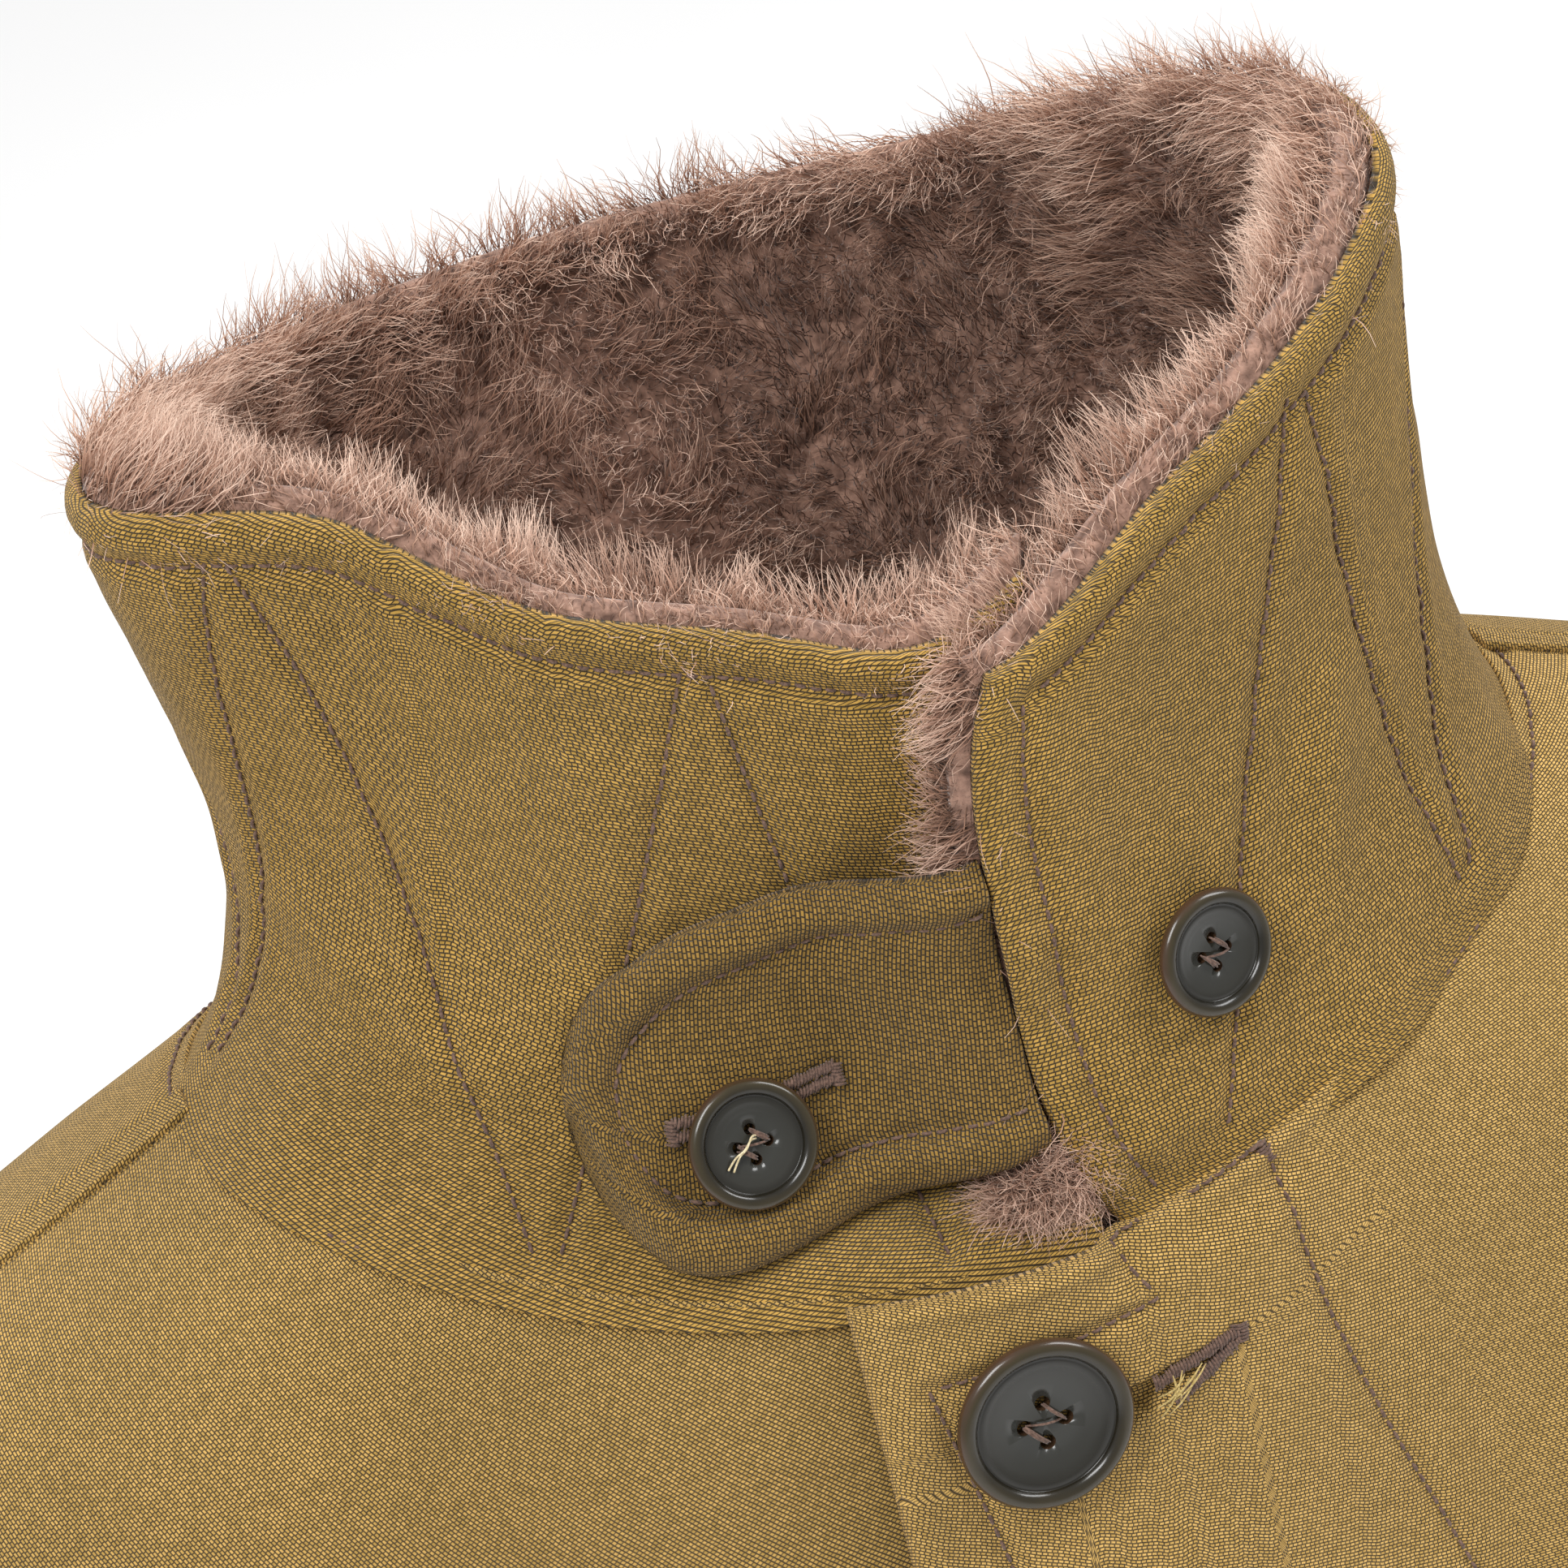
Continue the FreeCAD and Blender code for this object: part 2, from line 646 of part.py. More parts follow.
def button(name, diameter, thick, placement):
    """A four-hole button whose back lies on the placement's XY plane."""
    rim = doc.addObject("Part::Torus", name + "_rim")
    rim.setExpression("Radius1", f"Sizes.{diameter} / 2 - Sizes.{thick} * 0.36")
    rim.setExpression("Radius2", f"Sizes.{thick} * 0.36")
    rim.setExpression("Placement.Base.z", f"Sizes.{thick} * 0.64")
    disc = doc.addObject("Part::Cylinder", name + "_disc")
    disc.setExpression("Radius", f"Sizes.{diameter} / 2 - Sizes.{thick} * 0.3")
    disc.setExpression("Height", f"Sizes.{thick} * 0.66")
    blank = doc.addObject("Part::Fuse", name + "_blank")
    blank.Base, blank.Tool = rim, disc
    holes = doc.addObject("Part::MultiFuse", name + "_holes")
    drills = []
    for quarter in range(4):
        drill = doc.addObject("Part::Cylinder", f"{name}_drill_{quarter}")
        drill.setExpression("Radius", f"Sizes.{diameter} * 0.044")
        drill.Height = 12
        turn = math.radians(45 + 90 * quarter)
        drill.setExpression("Placement.Base.x", f"Sizes.{diameter} * {0.105 * math.cos(turn)}")
        drill.setExpression("Placement.Base.y", f"Sizes.{diameter} * {0.105 * math.sin(turn)}")
        drill.setExpression("Placement.Base.z", "-4")
        drills.append(drill)
    holes.Shapes = drills
    result = doc.addObject("Part::Cut", name)
    result.Base, result.Tool = blank, holes
    result.Label = name
    result.Placement = placement
    parts.append(result)


def shank(name, placement, depth):
    """The wound thread under a button, down to the cloth that carries it."""
    thread = doc.addObject("Part::Cylinder", name)
    thread.setExpression("Radius", "Sizes.thread_radius")
    thread.Height = depth
    thread.Placement = shifted(placement, -depth)
    thread.Label = name
    return thread


BUTTON_LIFT = 0.6
front_shanks = []
for number, frame in enumerate(button_frames, start=1):
    seat = shifted(frame, flap_high + BUTTON_LIFT)
    button(f"front_button_{number}", "front_button", "front_button_thick", seat)
    front_shanks.append(shank(f"front_shank_{number}", seat, flap_high + BUTTON_LIFT - 0.1))
shanks = doc.addObject("Part::Compound", "front_button_shanks")
shanks.Links = front_shanks
shanks.Label = "front_button_shanks"
parts.append(shanks)

tab_seat = shifted(tab_frame, size("tab_thick") + BUTTON_LIFT)
button("tab_button", "collar_button", "collar_button_thick", tab_seat)
parts.append(shank("tab_button_shank", tab_seat, size("tab_thick") + BUTTON_LIFT + 1.0))

SPARE_BUTTON = (-341, 0.32)          # place of the spare button: degrees and share of height


def collar_face(degrees, share):
    return collar_at(degrees, share, end_aside(degrees))


spare_frame = normal_frame(collar_face, SPARE_BUTTON[0], SPARE_BUTTON[1], 1)
spare_seat = shifted(spare_frame, 1.4)
button("spare_button", "collar_button", "collar_button_thick", spare_seat)
parts.append(shank("spare_button_shank", spare_seat, 1.3))

doc.recompute()

for item in doc.Objects:
    if "Invalid" in item.State or "Error" in item.State:
        raise RuntimeError(f"{item.Name} failed: {item.State}")
for part in parts:
    if part.Shape.isNull() or not part.Shape.isValid():
        raise RuntimeError(f"{part.Label} has no valid shape")

os.makedirs("parts", exist_ok=True)
for part in parts:
    part.Shape.exportStep(f"parts/{part.Label}.step")
    solids = len(part.Shape.Solids)
    print(f"{part.Label}: {solids} solid(s), {part.Shape.Volume / 1000:.2f} cm3")
print(len(parts), "nodes")
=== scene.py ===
import math

import bmesh
import bpy
import numpy as np
from mathutils import Matrix, Vector
from mathutils.kdtree import KDTree


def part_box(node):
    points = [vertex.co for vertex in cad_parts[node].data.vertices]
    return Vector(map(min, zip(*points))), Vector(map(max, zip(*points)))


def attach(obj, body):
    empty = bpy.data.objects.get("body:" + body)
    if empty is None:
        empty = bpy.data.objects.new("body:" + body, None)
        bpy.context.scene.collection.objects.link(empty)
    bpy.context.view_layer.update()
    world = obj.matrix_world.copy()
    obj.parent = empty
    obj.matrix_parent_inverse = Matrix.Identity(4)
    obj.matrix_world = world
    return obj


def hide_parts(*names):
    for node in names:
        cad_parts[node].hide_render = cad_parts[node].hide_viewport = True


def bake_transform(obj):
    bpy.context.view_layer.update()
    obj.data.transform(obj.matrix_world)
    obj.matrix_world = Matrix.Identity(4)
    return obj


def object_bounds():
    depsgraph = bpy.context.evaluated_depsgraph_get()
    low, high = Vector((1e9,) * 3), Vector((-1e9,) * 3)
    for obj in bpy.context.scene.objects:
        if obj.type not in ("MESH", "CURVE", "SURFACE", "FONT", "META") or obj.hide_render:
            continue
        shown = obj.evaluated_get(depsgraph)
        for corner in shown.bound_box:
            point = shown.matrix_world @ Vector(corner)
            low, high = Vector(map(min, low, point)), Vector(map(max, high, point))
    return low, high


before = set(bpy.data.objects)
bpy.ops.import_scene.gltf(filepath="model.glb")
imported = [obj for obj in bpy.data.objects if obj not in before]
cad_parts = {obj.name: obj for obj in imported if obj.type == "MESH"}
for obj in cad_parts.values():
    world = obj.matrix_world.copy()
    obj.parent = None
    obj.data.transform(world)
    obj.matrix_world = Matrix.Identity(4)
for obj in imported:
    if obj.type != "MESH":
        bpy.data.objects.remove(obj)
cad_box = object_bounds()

# The deck jacket's cloth, pile, stitching and buttons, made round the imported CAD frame.
# Surfaces are worked out in millimetres in the neck frame: its origin is the middle of the neck
# opening at the height of the front neck seam, +Z up, front towards -Y, +X to the wearer's left.
# metres() turns such points into the shared frame, whose origin is the hanger loop.

LOOP_POINT = np.array([0.0, 52.0, 12.0])
COAT = "coat"


def metres(points):
    return (np.asarray(points, dtype=float) - LOOP_POINT) / 1000


# Camera: a close look at the collar from the wearer's right, 32 degrees above level

CAMERA_AZIMUTH = math.radians(-15.33)
CAMERA_ELEVATION = math.radians(32)
CAMERA_ROLL = math.radians(11.27)
CAMERA_DISTANCE = 1200
CAMERA_TARGET = Vector((0, 0, 40))
CAMERA_SLIDE = (-8.59, 3.41)         # across and up, millimetres
CAMERA_LENS = 177.65


def aim_camera():
    level = math.cos(CAMERA_ELEVATION)
    back = Vector((math.sin(CAMERA_AZIMUTH) * level, -math.cos(CAMERA_AZIMUTH) * level,
                   math.sin(CAMERA_ELEVATION)))
    right = Vector((math.cos(CAMERA_AZIMUTH), math.sin(CAMERA_AZIMUTH), 0))
    up = back.cross(right)
    across = right * math.cos(CAMERA_ROLL) - up * math.sin(CAMERA_ROLL)
    upward = right * math.sin(CAMERA_ROLL) + up * math.cos(CAMERA_ROLL)
    place = CAMERA_TARGET + back * CAMERA_DISTANCE
    place += across * CAMERA_SLIDE[0] + upward * CAMERA_SLIDE[1]
    data = bpy.data.cameras.new("camera")
    data.lens = CAMERA_LENS
    data.sensor_width = 36
    data.clip_end = 50
    camera = bpy.data.objects.new("camera", data)
    matrix = Matrix((across, upward, back)).transposed().to_4x4()
    matrix.translation = Vector(metres(place))
    camera.matrix_world = matrix
    bpy.context.scene.collection.objects.link(camera)
    bpy.context.scene.camera = camera


aim_camera()


# Numbers: smooth steps, smooth curves through rows, and seeded noise

def smooth(value):
    value = np.clip(value, 0.0, 1.0)
    return value * value * (3 - 2 * value)


def bump(distance, width):
    return np.exp(-(np.asarray(distance) / width) ** 2)


def unit(vectors):
    return vectors / np.maximum(np.linalg.norm(vectors, axis=-1, keepdims=True), 1e-9)


def between(rows, step):
    """Smooth values of every column at fractional rows, by a Catmull-Rom curve."""
    rows = np.asarray(rows, dtype=float)
    last = len(rows) - 1
    step = np.clip(np.asarray(step, dtype=float), 0, last)
    index = np.minimum(step.astype(int), last - 1)
    part = (step - index)[..., None]
    before, start = rows[np.maximum(index - 1, 0)], rows[index]
    end, after = rows[index + 1], rows[np.minimum(index + 2, last)]
    square = part * part
    cube = square * part
    return (start * (2 * cube - 3 * square + 1)
            + (end - before) / 2 * (cube - 2 * square + part)
            + end * (3 * square - 2 * cube)
            + (after - start) / 2 * (cube - square))


def lattice(cells, seed):
    """A repeatable random number from -1 to 1 for every whole-number point."""
    mixed = (cells[..., 0] * 374761393 + cells[..., 1] * 668265263
             + cells[..., 2] * 1274126177 + seed * 974634777).astype(np.uint32)
    mixed = (mixed ^ (mixed >> np.uint32(13))) * np.uint32(1103515245)
    mixed = mixed ^ (mixed >> np.uint32(16))
    return mixed.astype(float) / 2147483647.5 - 1


def noise(points, cell, seed):
    """A smooth random field from -1 to 1 whose features have the given size or sizes."""
    grid = np.asarray(points, dtype=float) / cell
    low = np.floor(grid).astype(np.int64)
    share = smooth(grid - low)
    total = np.zeros(grid.shape[:-1])
    for corner in range(8):
        step = np.array([corner & 1, corner >> 1 & 1, corner >> 2 & 1])
        weight = np.prod(np.where(step == 1, share, 1 - share), axis=-1)
        total += weight * lattice(low + step, seed)
    return total


# Surfaces of the jacket, as the CAD has them

BODY_RINGS = [
    (109, 73, 73, 0, 27, 5, 2.00),
    (140, 77, 84, -28, 13, -18, 2.05),
    (180, 82, 98, -62, -5, -50, 2.15),
    (213, 88, 108, -98, -25, -86, 2.30),
    (229, 94, 116, -132, -58, -124, 2.45),
    (232, 101, 122, -175, -120, -170, 2.50),
    (229, 107, 125, -235, -225, -235, 2.45),
    (227, 119, 127, -330, -330, -330, 2.40),
    (229, 134, 130, -450, -450, -450, 2.40),
    (233, 148, 134, -560, -560, -560, 2.40),
    (236, 156, 137, -630, -630, -630, 2.40),
]
HEM = len(BODY_RINGS) - 1
SLEEVE_RINGS = [
    (206, -29, 206, -209, 62, 8),
    (232, -32, 228, -210, 62, 8),
    (268, -50, 232, -214, 69, 8),
    (304, -90, 234, -222, 71, 8),
    (332, -146, 236, -236, 70, 8),
    (352, -212, 241, -262, 68, 6),
    (374, -308, 262, -345, 65, 3),
    (395, -398, 288, -430, 61, -2),
    (415, -486, 316, -513, 57, -8),
    (433, -567, 344, -590, 52, -14),
    (443, -618, 357, -640, 49, -18),
]
COLLAR_SHAPE = [  # every 30 degrees from the front: lean of the top edge, waist, height
    (-20.5, 6.5, 98.5),
    (-14.0, 4.5, 103.0),
    (-8.0, 5.0, 106.0),
    (-7.0, 6.0, 102.0),
    (-3.0, 6.5, 101.0),
    (18.0, 7.5, 93.0),
    (34.0, 10.0, 89.0),
    (27.0, 12.0, 91.0),
    (2.0, 10.0, 100.0),
    (-7.0, 14.0, 104.0),
    (-29.0, 12.5, 107.0),
    (-29.0, 9.5, 101.5),
]
COLLAR_STEP = 30
COLLAR_LOOP = COLLAR_SHAPE[-1:] + COLLAR_SHAPE + COLLAR_SHAPE[:2]
HEAD_END = 4
CUFF_END = len(SLEEVE_RINGS) - 1
NECK_HALF_WIDTH = 109
NECK_DEPTH = 73
COLLAR_HEIGHT = 100
SHELL = 1.6
PILE_GAP = 0.4
PILE = 8.0
BAG_ROOM = 2.6


def body(degrees, step):
    """Outer face of the body: 0 degrees is the front, +90 the wearer's left side."""
    degrees, step = np.broadcast_arrays(np.asarray(degrees, dtype=float), step)
    width, front, back, z_front, z_side, z_back, square = np.moveaxis(
        between(BODY_RINGS, step), -1, 0)
    cosine, sine = np.cos(np.radians(degrees)), np.sin(np.radians(degrees))
    reach = (np.abs(cosine) ** square + np.abs(sine) ** square) ** (-1 / square)
    depth = np.where(cosine > 0, front, back)
    height = np.where(cosine > 0, z_front, z_back)
    return np.stack([width * sine * reach, -depth * cosine * reach,
                     z_side + (height - z_side) * cosine ** 2], axis=-1)


def degrees_at(side_x, step):
    """Angle at which the body's surface crosses a distance from the middle."""
    return np.degrees(np.arcsin(side_x / between(BODY_RINGS, step)[..., 0]))


def front(side_x, step):
    """The body's front, by distance from the middle."""
    side_x, step = np.broadcast_arrays(np.asarray(side_x, dtype=float), step)
    return body(degrees_at(side_x, step), step)


def step_at(side_x, height):
    """The step at which the front reaches a height, by halving the range."""
    side_x, height = np.broadcast_arrays(np.asarray(side_x, dtype=float), height)
    low, high = np.zeros(side_x.shape), np.full(side_x.shape, float(HEM))
    for _ in range(30):
        middle = (low + high) / 2
        above = front(side_x, middle)[..., 2] > height
        low, high = np.where(above, middle, low), np.where(above, high, middle)
    return low


def end_aside(degrees):
    """Overlap of the collar's ends: the left end rides outside, the right end tucks inside."""
    return np.where(degrees > -180, -9.5 * smooth((degrees + 38) / 34),
                    5.0 * smooth((-degrees - 330) / 28))


def collar_at(degrees, share, aside):
    """Outer face of the collar: share 0 is the neck seam and 1 the top edge."""
    turn = np.radians(degrees)
    cosine, sine = np.cos(turn), np.sin(turn)
    end_rise = np.where(cosine > 0, 0, 5)
    seam = np.stack([NECK_HALF_WIDTH * sine, -NECK_DEPTH * cosine,
                     27 + (end_rise - 27) * cosine ** 2], axis=-1)
    outward = unit(np.stack([sine / NECK_HALF_WIDTH, -cosine / NECK_DEPTH, 0 * sine], axis=-1))
    flare, waist, height = np.moveaxis(
        between(COLLAR_LOOP, 1 + (degrees % 360) / COLLAR_STEP), -1, 0)
    height = height - 9 * bump(np.degrees(np.arctan2(sine, cosine)) - 4, 13)
    lean = flare * share * (share * (3 - 2 * share) + 1) / 2
    pinch = waist * 6.75 * share * (1 - share) ** 2
    up = np.stack([0 * share, 0 * share, height * share], axis=-1)
    return seam + outward * (lean - pinch + aside)[..., None] + up


def collar(degrees, share):
    degrees, share = np.broadcast_arrays(np.asarray(degrees, dtype=float), share)
    return collar_at(degrees, share, end_aside(degrees) * smooth(share / 0.12))


def right_end(share):
    return 4 + 10 * smooth(share / 0.2)


def left_end(share):
    return 1.5 + 4 * (2 * share - 1) ** 4 - 360


def collar_cloth(across, along):
    """The collar from its right end, round the back, to its left end."""
    across, along = np.broadcast_arrays(np.asarray(across, dtype=float), along)
    first, last = right_end(along), left_end(along)
    return collar(first + (last - first) * across, along)


def tab(across, along):
    """The collar tab from its sewn root at the left end to its round tip on the right side."""
    across, along = np.broadcast_arrays(np.asarray(across, dtype=float), along)
    degrees = 1.5 - 41 * along
    middle = 0.42 - 0.17 * np.minimum(along / 0.8, 1)
    past = np.clip((along - 0.62) / 0.385, 0, 0.9999)
    half = (0.26 - 0.03 * along) * np.sqrt(1 - past ** 2)
    share = middle + half * (1 - 2 * across)
    resting = end_aside(degrees) * smooth(share / 0.12) + 1.6
    level = 2.6 + (resting - 2.6) * smooth(along / 0.45)
    return collar_at(degrees, share, level)


def sleeve(degrees, ring):
    """Outer face of the left sleeve: 0 degrees is its top line, 90 its back."""
    degrees, ring = np.broadcast_arrays(np.asarray(degrees, dtype=float), ring)
    top_x, top_z, low_x, low_z, depth, back = np.moveaxis(between(SLEEVE_RINGS, ring), -1, 0)
    cosine, sine = np.cos(np.radians(degrees)), np.sin(np.radians(degrees))
    return np.stack([(top_x + low_x) / 2 + (top_x - low_x) / 2 * cosine, back + depth * sine,
                     (top_z + low_z) / 2 + (top_z - low_z) / 2 * cosine], axis=-1)


def normals(surface, first, second, flip):
    """Outward normals of a surface of two numbers."""
    tiny = 1e-3
    side = surface(first + tiny, second) - surface(first - tiny, second)
    down = surface(first, second + tiny) - surface(first, second - tiny)
    return unit(np.cross(side, down)) * flip


# Which way each surface's own two numbers turn
FLIPS = {body: -1, front: -1, collar: 1, collar_cloth: -1, tab: -1, sleeve: -1}


class Cloth:
    """A surface with its seams and folds, so that cloth and stitches share one shape."""

    def __init__(self, surface, folds=None, base=0.0, depth=0.6, width=1.4):
        self.surface = surface
        self.flip = FLIPS[surface]
        self.folds = folds
        self.base = base
        self.depth = depth
        self.width = width
        self.lines = []
        self.tree = None

    def seam(self, knots, surface=None):
        """Sew along a smooth line through knots given in the surface's own two numbers."""
        surface = surface or self.surface
        places = even_places(surface, knots, STITCH / STATIONS)
        self.lines.append((surface, places))

    def settle(self):
        """Collect every seam, ready for relief()."""
        sewn = [surface(places[:, 0], places[:, 1]) for surface, places in self.lines]
        sewn = np.concatenate(sewn) if sewn else np.empty((0, 3))
        self.tree = KDTree(max(len(sewn), 1))
        for number, point in enumerate(sewn):
            self.tree.insert(point, number)
        self.tree.balance()

    def relief(self, points):
        """How far the cloth stands off its plain surface: folds, and a valley at each seam."""
        flat = points.reshape(-1, 3)
        near = np.full(len(flat), 99.0)
        if self.lines:
            near = np.array([self.tree.find(point)[2] for point in flat])
        pucker = 1 + 0.7 * noise(flat, 4.0, 3)
        valley = -self.depth * pucker * bump(near, self.width)
        puff = 0.35 * self.depth * (bump(near - 3.2, 2.2) - bump(near - 1.2, 1.2) * 0.2)
        total = valley + puff + self.base
        if self.folds:
            total = total + self.folds(flat)
        return total.reshape(points.shape[:-1])

    def place(self, first, second, lift=0.0):
        points = self.surface(first, second)
        total = self.relief(points) + lift
        return points + normals(self.surface, first, second, self.flip) * total[..., None]


STITCH = 2.35
STATIONS = 7


def even_places(surface, knots, pitch):
    """Places at even distances along a smooth line through knots on a surface."""
    fine = np.linspace(0, len(knots) - 1, 80 * (len(knots) - 1) + 1)
    places = between(knots, fine)
    points = surface(places[:, 0], places[:, 1])
    lengths = np.concatenate([[0], np.cumsum(np.linalg.norm(np.diff(points, axis=0), axis=1))])
    count = max(int(lengths[-1] / pitch), 2)
    return between(knots, np.interp(np.linspace(0, lengths[-1], count), lengths, fine))


# Meshes

def quad_mesh(name, points, quads, materials, uv=None, uv_name="Weave"):
    """A smooth-shaded piece of four-sided faces, from points in neck millimetres."""
    mesh = bpy.data.meshes.new(name)
    mesh.vertices.add(len(points))
    mesh.vertices.foreach_set("co", metres(points).ravel())
    mesh.loops.add(quads.size)
    mesh.loops.foreach_set("vertex_index", quads.ravel().astype(np.int32))
    mesh.polygons.add(len(quads))
    mesh.polygons.foreach_set("loop_start", np.arange(0, quads.size, 4, dtype=np.int32))
    mesh.update(calc_edges=True)
    mesh.polygons.foreach_set("use_smooth", np.ones(len(quads), dtype=bool))
    if uv is not None:
        layer = mesh.uv_layers.new(name=uv_name)
        layer.data.foreach_set("uv", uv[quads.ravel()].ravel())
    for material in materials:
        mesh.materials.append(material)
    piece = bpy.data.objects.new(name, mesh)
    bpy.context.scene.collection.objects.link(piece)
    return piece


def grid_quads(rows, columns, closed=False):
    """Faces of a grid of points, with its first direction closed into a ring if asked."""
    index = np.arange(rows * columns).reshape(rows, columns)
    if closed:
        index = np.concatenate([index, index[:1]])
    return np.stack([index[:-1, :-1], index[1:, :-1], index[1:, 1:], index[:-1, 1:]],
                    axis=-1).reshape(-1, 4)


def cloth_lengths(points):
    """Distances along both directions of a grid, from its middle, for a weave to follow."""
    across = np.zeros(points.shape[:2])
    along = np.zeros(points.shape[:2])
    across[1:] = np.cumsum(np.linalg.norm(np.diff(points, axis=0), axis=-1), axis=0)
    along[:, 1:] = np.cumsum(np.linalg.norm(np.diff(points, axis=1), axis=-1), axis=1)
    across -= across[len(across) // 2]
    return np.stack([across, along], axis=-1)


def two_faced(name, outer, inner, materials, closed=False):
    """A piece of cloth with an outer and an inner face, from two equal grids of points."""
    rows, columns = outer.shape[:2]
    quads = grid_quads(rows, columns, closed)
    count = rows * columns
    back = quads[:, ::-1] + count
    index = np.arange(count).reshape(rows, columns)
    edges = [index[:, 0], index[::-1, -1]]
    if closed:
        edges = [np.append(index[:, 0], index[0, 0]), np.append(index[:, -1], index[0, -1])[::-1]]
    else:
        edges += [index[-1, :], index[0, ::-1]]
    rims = [np.stack([edge[:-1], edge[:-1] + count, edge[1:] + count, edge[1:]], axis=-1)[:, ::-1]
            for edge in edges]
    uv = np.concatenate([cloth_lengths(outer).reshape(-1, 2)] * 2)
    points = np.concatenate([outer.reshape(-1, 3), inner.reshape(-1, 3)])
    piece = quad_mesh(name, points, np.concatenate([quads, back] + rims), materials, uv)
    fix_outward(piece)
    return piece


def fix_outward(piece):
    """Turn every face outwards."""
    work = bmesh.new()
    work.from_mesh(piece.data)
    bmesh.ops.recalc_face_normals(work, faces=work.faces)
    work.to_mesh(piece.data)
    work.free()


def tubes(centres, facing, radii, sides=6):
    """Closed tubes along many equal paths: points and faces."""
    paths, stations = centres.shape[:2]
    along = unit(np.gradient(centres, axis=1))
    side = unit(np.cross(along, facing))
    over = np.cross(side, along)
    turns = 2 * math.pi * np.arange(sides) / sides
    ring = (side[:, :, None] * np.cos(turns)[:, None] + over[:, :, None] * np.sin(turns)[:, None])
    points = centres[:, :, None] + ring * np.broadcast_to(radii, (paths, stations))[..., None, None]
    index = np.arange(paths * stations * sides).reshape(paths, stations, sides)
    turned = np.roll(index, -1, axis=2)
    walls = np.stack([index[:, :-1], turned[:, :-1], turned[:, 1:], index[:, 1:]], axis=-1)
    quads = [walls.reshape(-1, 4)]
    for end, order in ((0, (3, 2, 1, 0)), (stations - 1, (0, 1, 2, 3))):
        for start in range(0, sides - 2, 2):
            corners = [0, start + 1, start + 2, start + 3]
            picked = index[:, end][:, corners]
            quads.append(picked[:, list(order)])
    return points.reshape(-1, 3), np.concatenate(quads)


def join_parts(parts):
    """Several sets of points and faces as one set."""
    points, quads, start = [], [], 0
    for some_points, some_quads in parts:
        points.append(some_points)
        quads.append(some_quads + start)
        start += len(some_points)
    return np.concatenate(points), np.concatenate(quads)


STITCH_RADIUS = 0.30
STITCH_RISE = np.array([-0.25, 0.22, 0.38, 0.42, 0.38, 0.22, -0.25])
STITCH_SWELL = np.array([0.55, 0.9, 1.0, 1.0, 1.0, 0.9, 0.55])


def stitched(name, cloth, which=None):
    """The thread of a cloth's seams: one short arched tube for every stitch."""
    parts = []
    for surface, places in (which or cloth.lines):
        count = len(places) // STATIONS
        if not count:
            continue
        places = places[:count * STATIONS].reshape(count, STATIONS, 2)
        gap = (places[:, -1] - places[:, 0])[:, None] * 0.06
        places = places + gap * np.linspace(1, -1, STATIONS)[None, :, None]
        first, second = places[..., 0], places[..., 1]
        points = surface(first, second)
        facing = normals(surface, first, second, FLIPS[surface])
        lift = cloth.relief(points) + STITCH_RISE
        parts.append(tubes(points + facing * lift[..., None], facing,
                           STITCH_RADIUS * STITCH_SWELL))
    points, quads = join_parts(parts)
    return quad_mesh(name, points, quads, [thread_material])


# Materials

def srgb(red, green, blue):
    """A linear colour from 0-255 screen values."""
    return tuple(((value / 255 + 0.055) / 1.055) ** 2.4 for value in (red, green, blue)) + (1,)


def new_material(name, roughness, **inputs):
    """A material with its shader, its node maker and its linker."""
    material = bpy.data.materials.new(name)
    material.use_nodes = True
    nodes = material.node_tree.nodes
    shader = nodes["Principled BSDF"]
    shader.inputs["Roughness"].default_value = roughness
    for key, value in inputs.items():
        shader.inputs[key.replace("_", " ")].default_value = value
    return material, nodes, shader, material.node_tree.links.new


def mix_colours(nodes, link, factor, first, second, blend="MIX"):
    """A colour mix; each input is a socket or a plain colour."""
    mix = nodes.new("ShaderNodeMix")
    mix.data_type = "RGBA"
    mix.blend_type = blend
    for socket, value in ((mix.inputs[0], factor), (mix.inputs[6], first), (mix.inputs[7], second)):
        if isinstance(value, bpy.types.NodeSocket):
            link(value, socket)
        else:
            socket.default_value = value
    return mix.outputs[2]


def noise_node(nodes, link, vector, scale, detail=2.0):
    texture = nodes.new("ShaderNodeTexNoise")
    texture.inputs["Scale"].default_value = scale
    texture.inputs["Detail"].default_value = detail
    link(vector, texture.inputs["Vector"])
    return texture.outputs["Fac"]


def math_node(nodes, link, operation, first, second):
    node = nodes.new("ShaderNodeMath")
    node.operation = operation
    for socket, value in zip(node.inputs, (first, second)):
        if isinstance(value, bpy.types.NodeSocket):
            link(value, socket)
        else:
            socket.default_value = value
    return node.outputs[0]


def multiply_add(nodes, link, first, factor, added):
    """first * factor + added, where first and added are sockets."""
    total = math_node(nodes, link, "MULTIPLY_ADD", first, factor)
    link(added, total.node.inputs[2])
    return total


def ramp_node(nodes, link, factor, stops):
    ramp = nodes.new("ShaderNodeValToRGB")
    elements = ramp.color_ramp.elements
    while len(elements) < len(stops):
        elements.new(0.5)
    for element, (position, colour) in zip(elements, stops):
        element.position = position
        element.color = colour
    link(factor, ramp.inputs[0])
    return ramp.outputs[0]


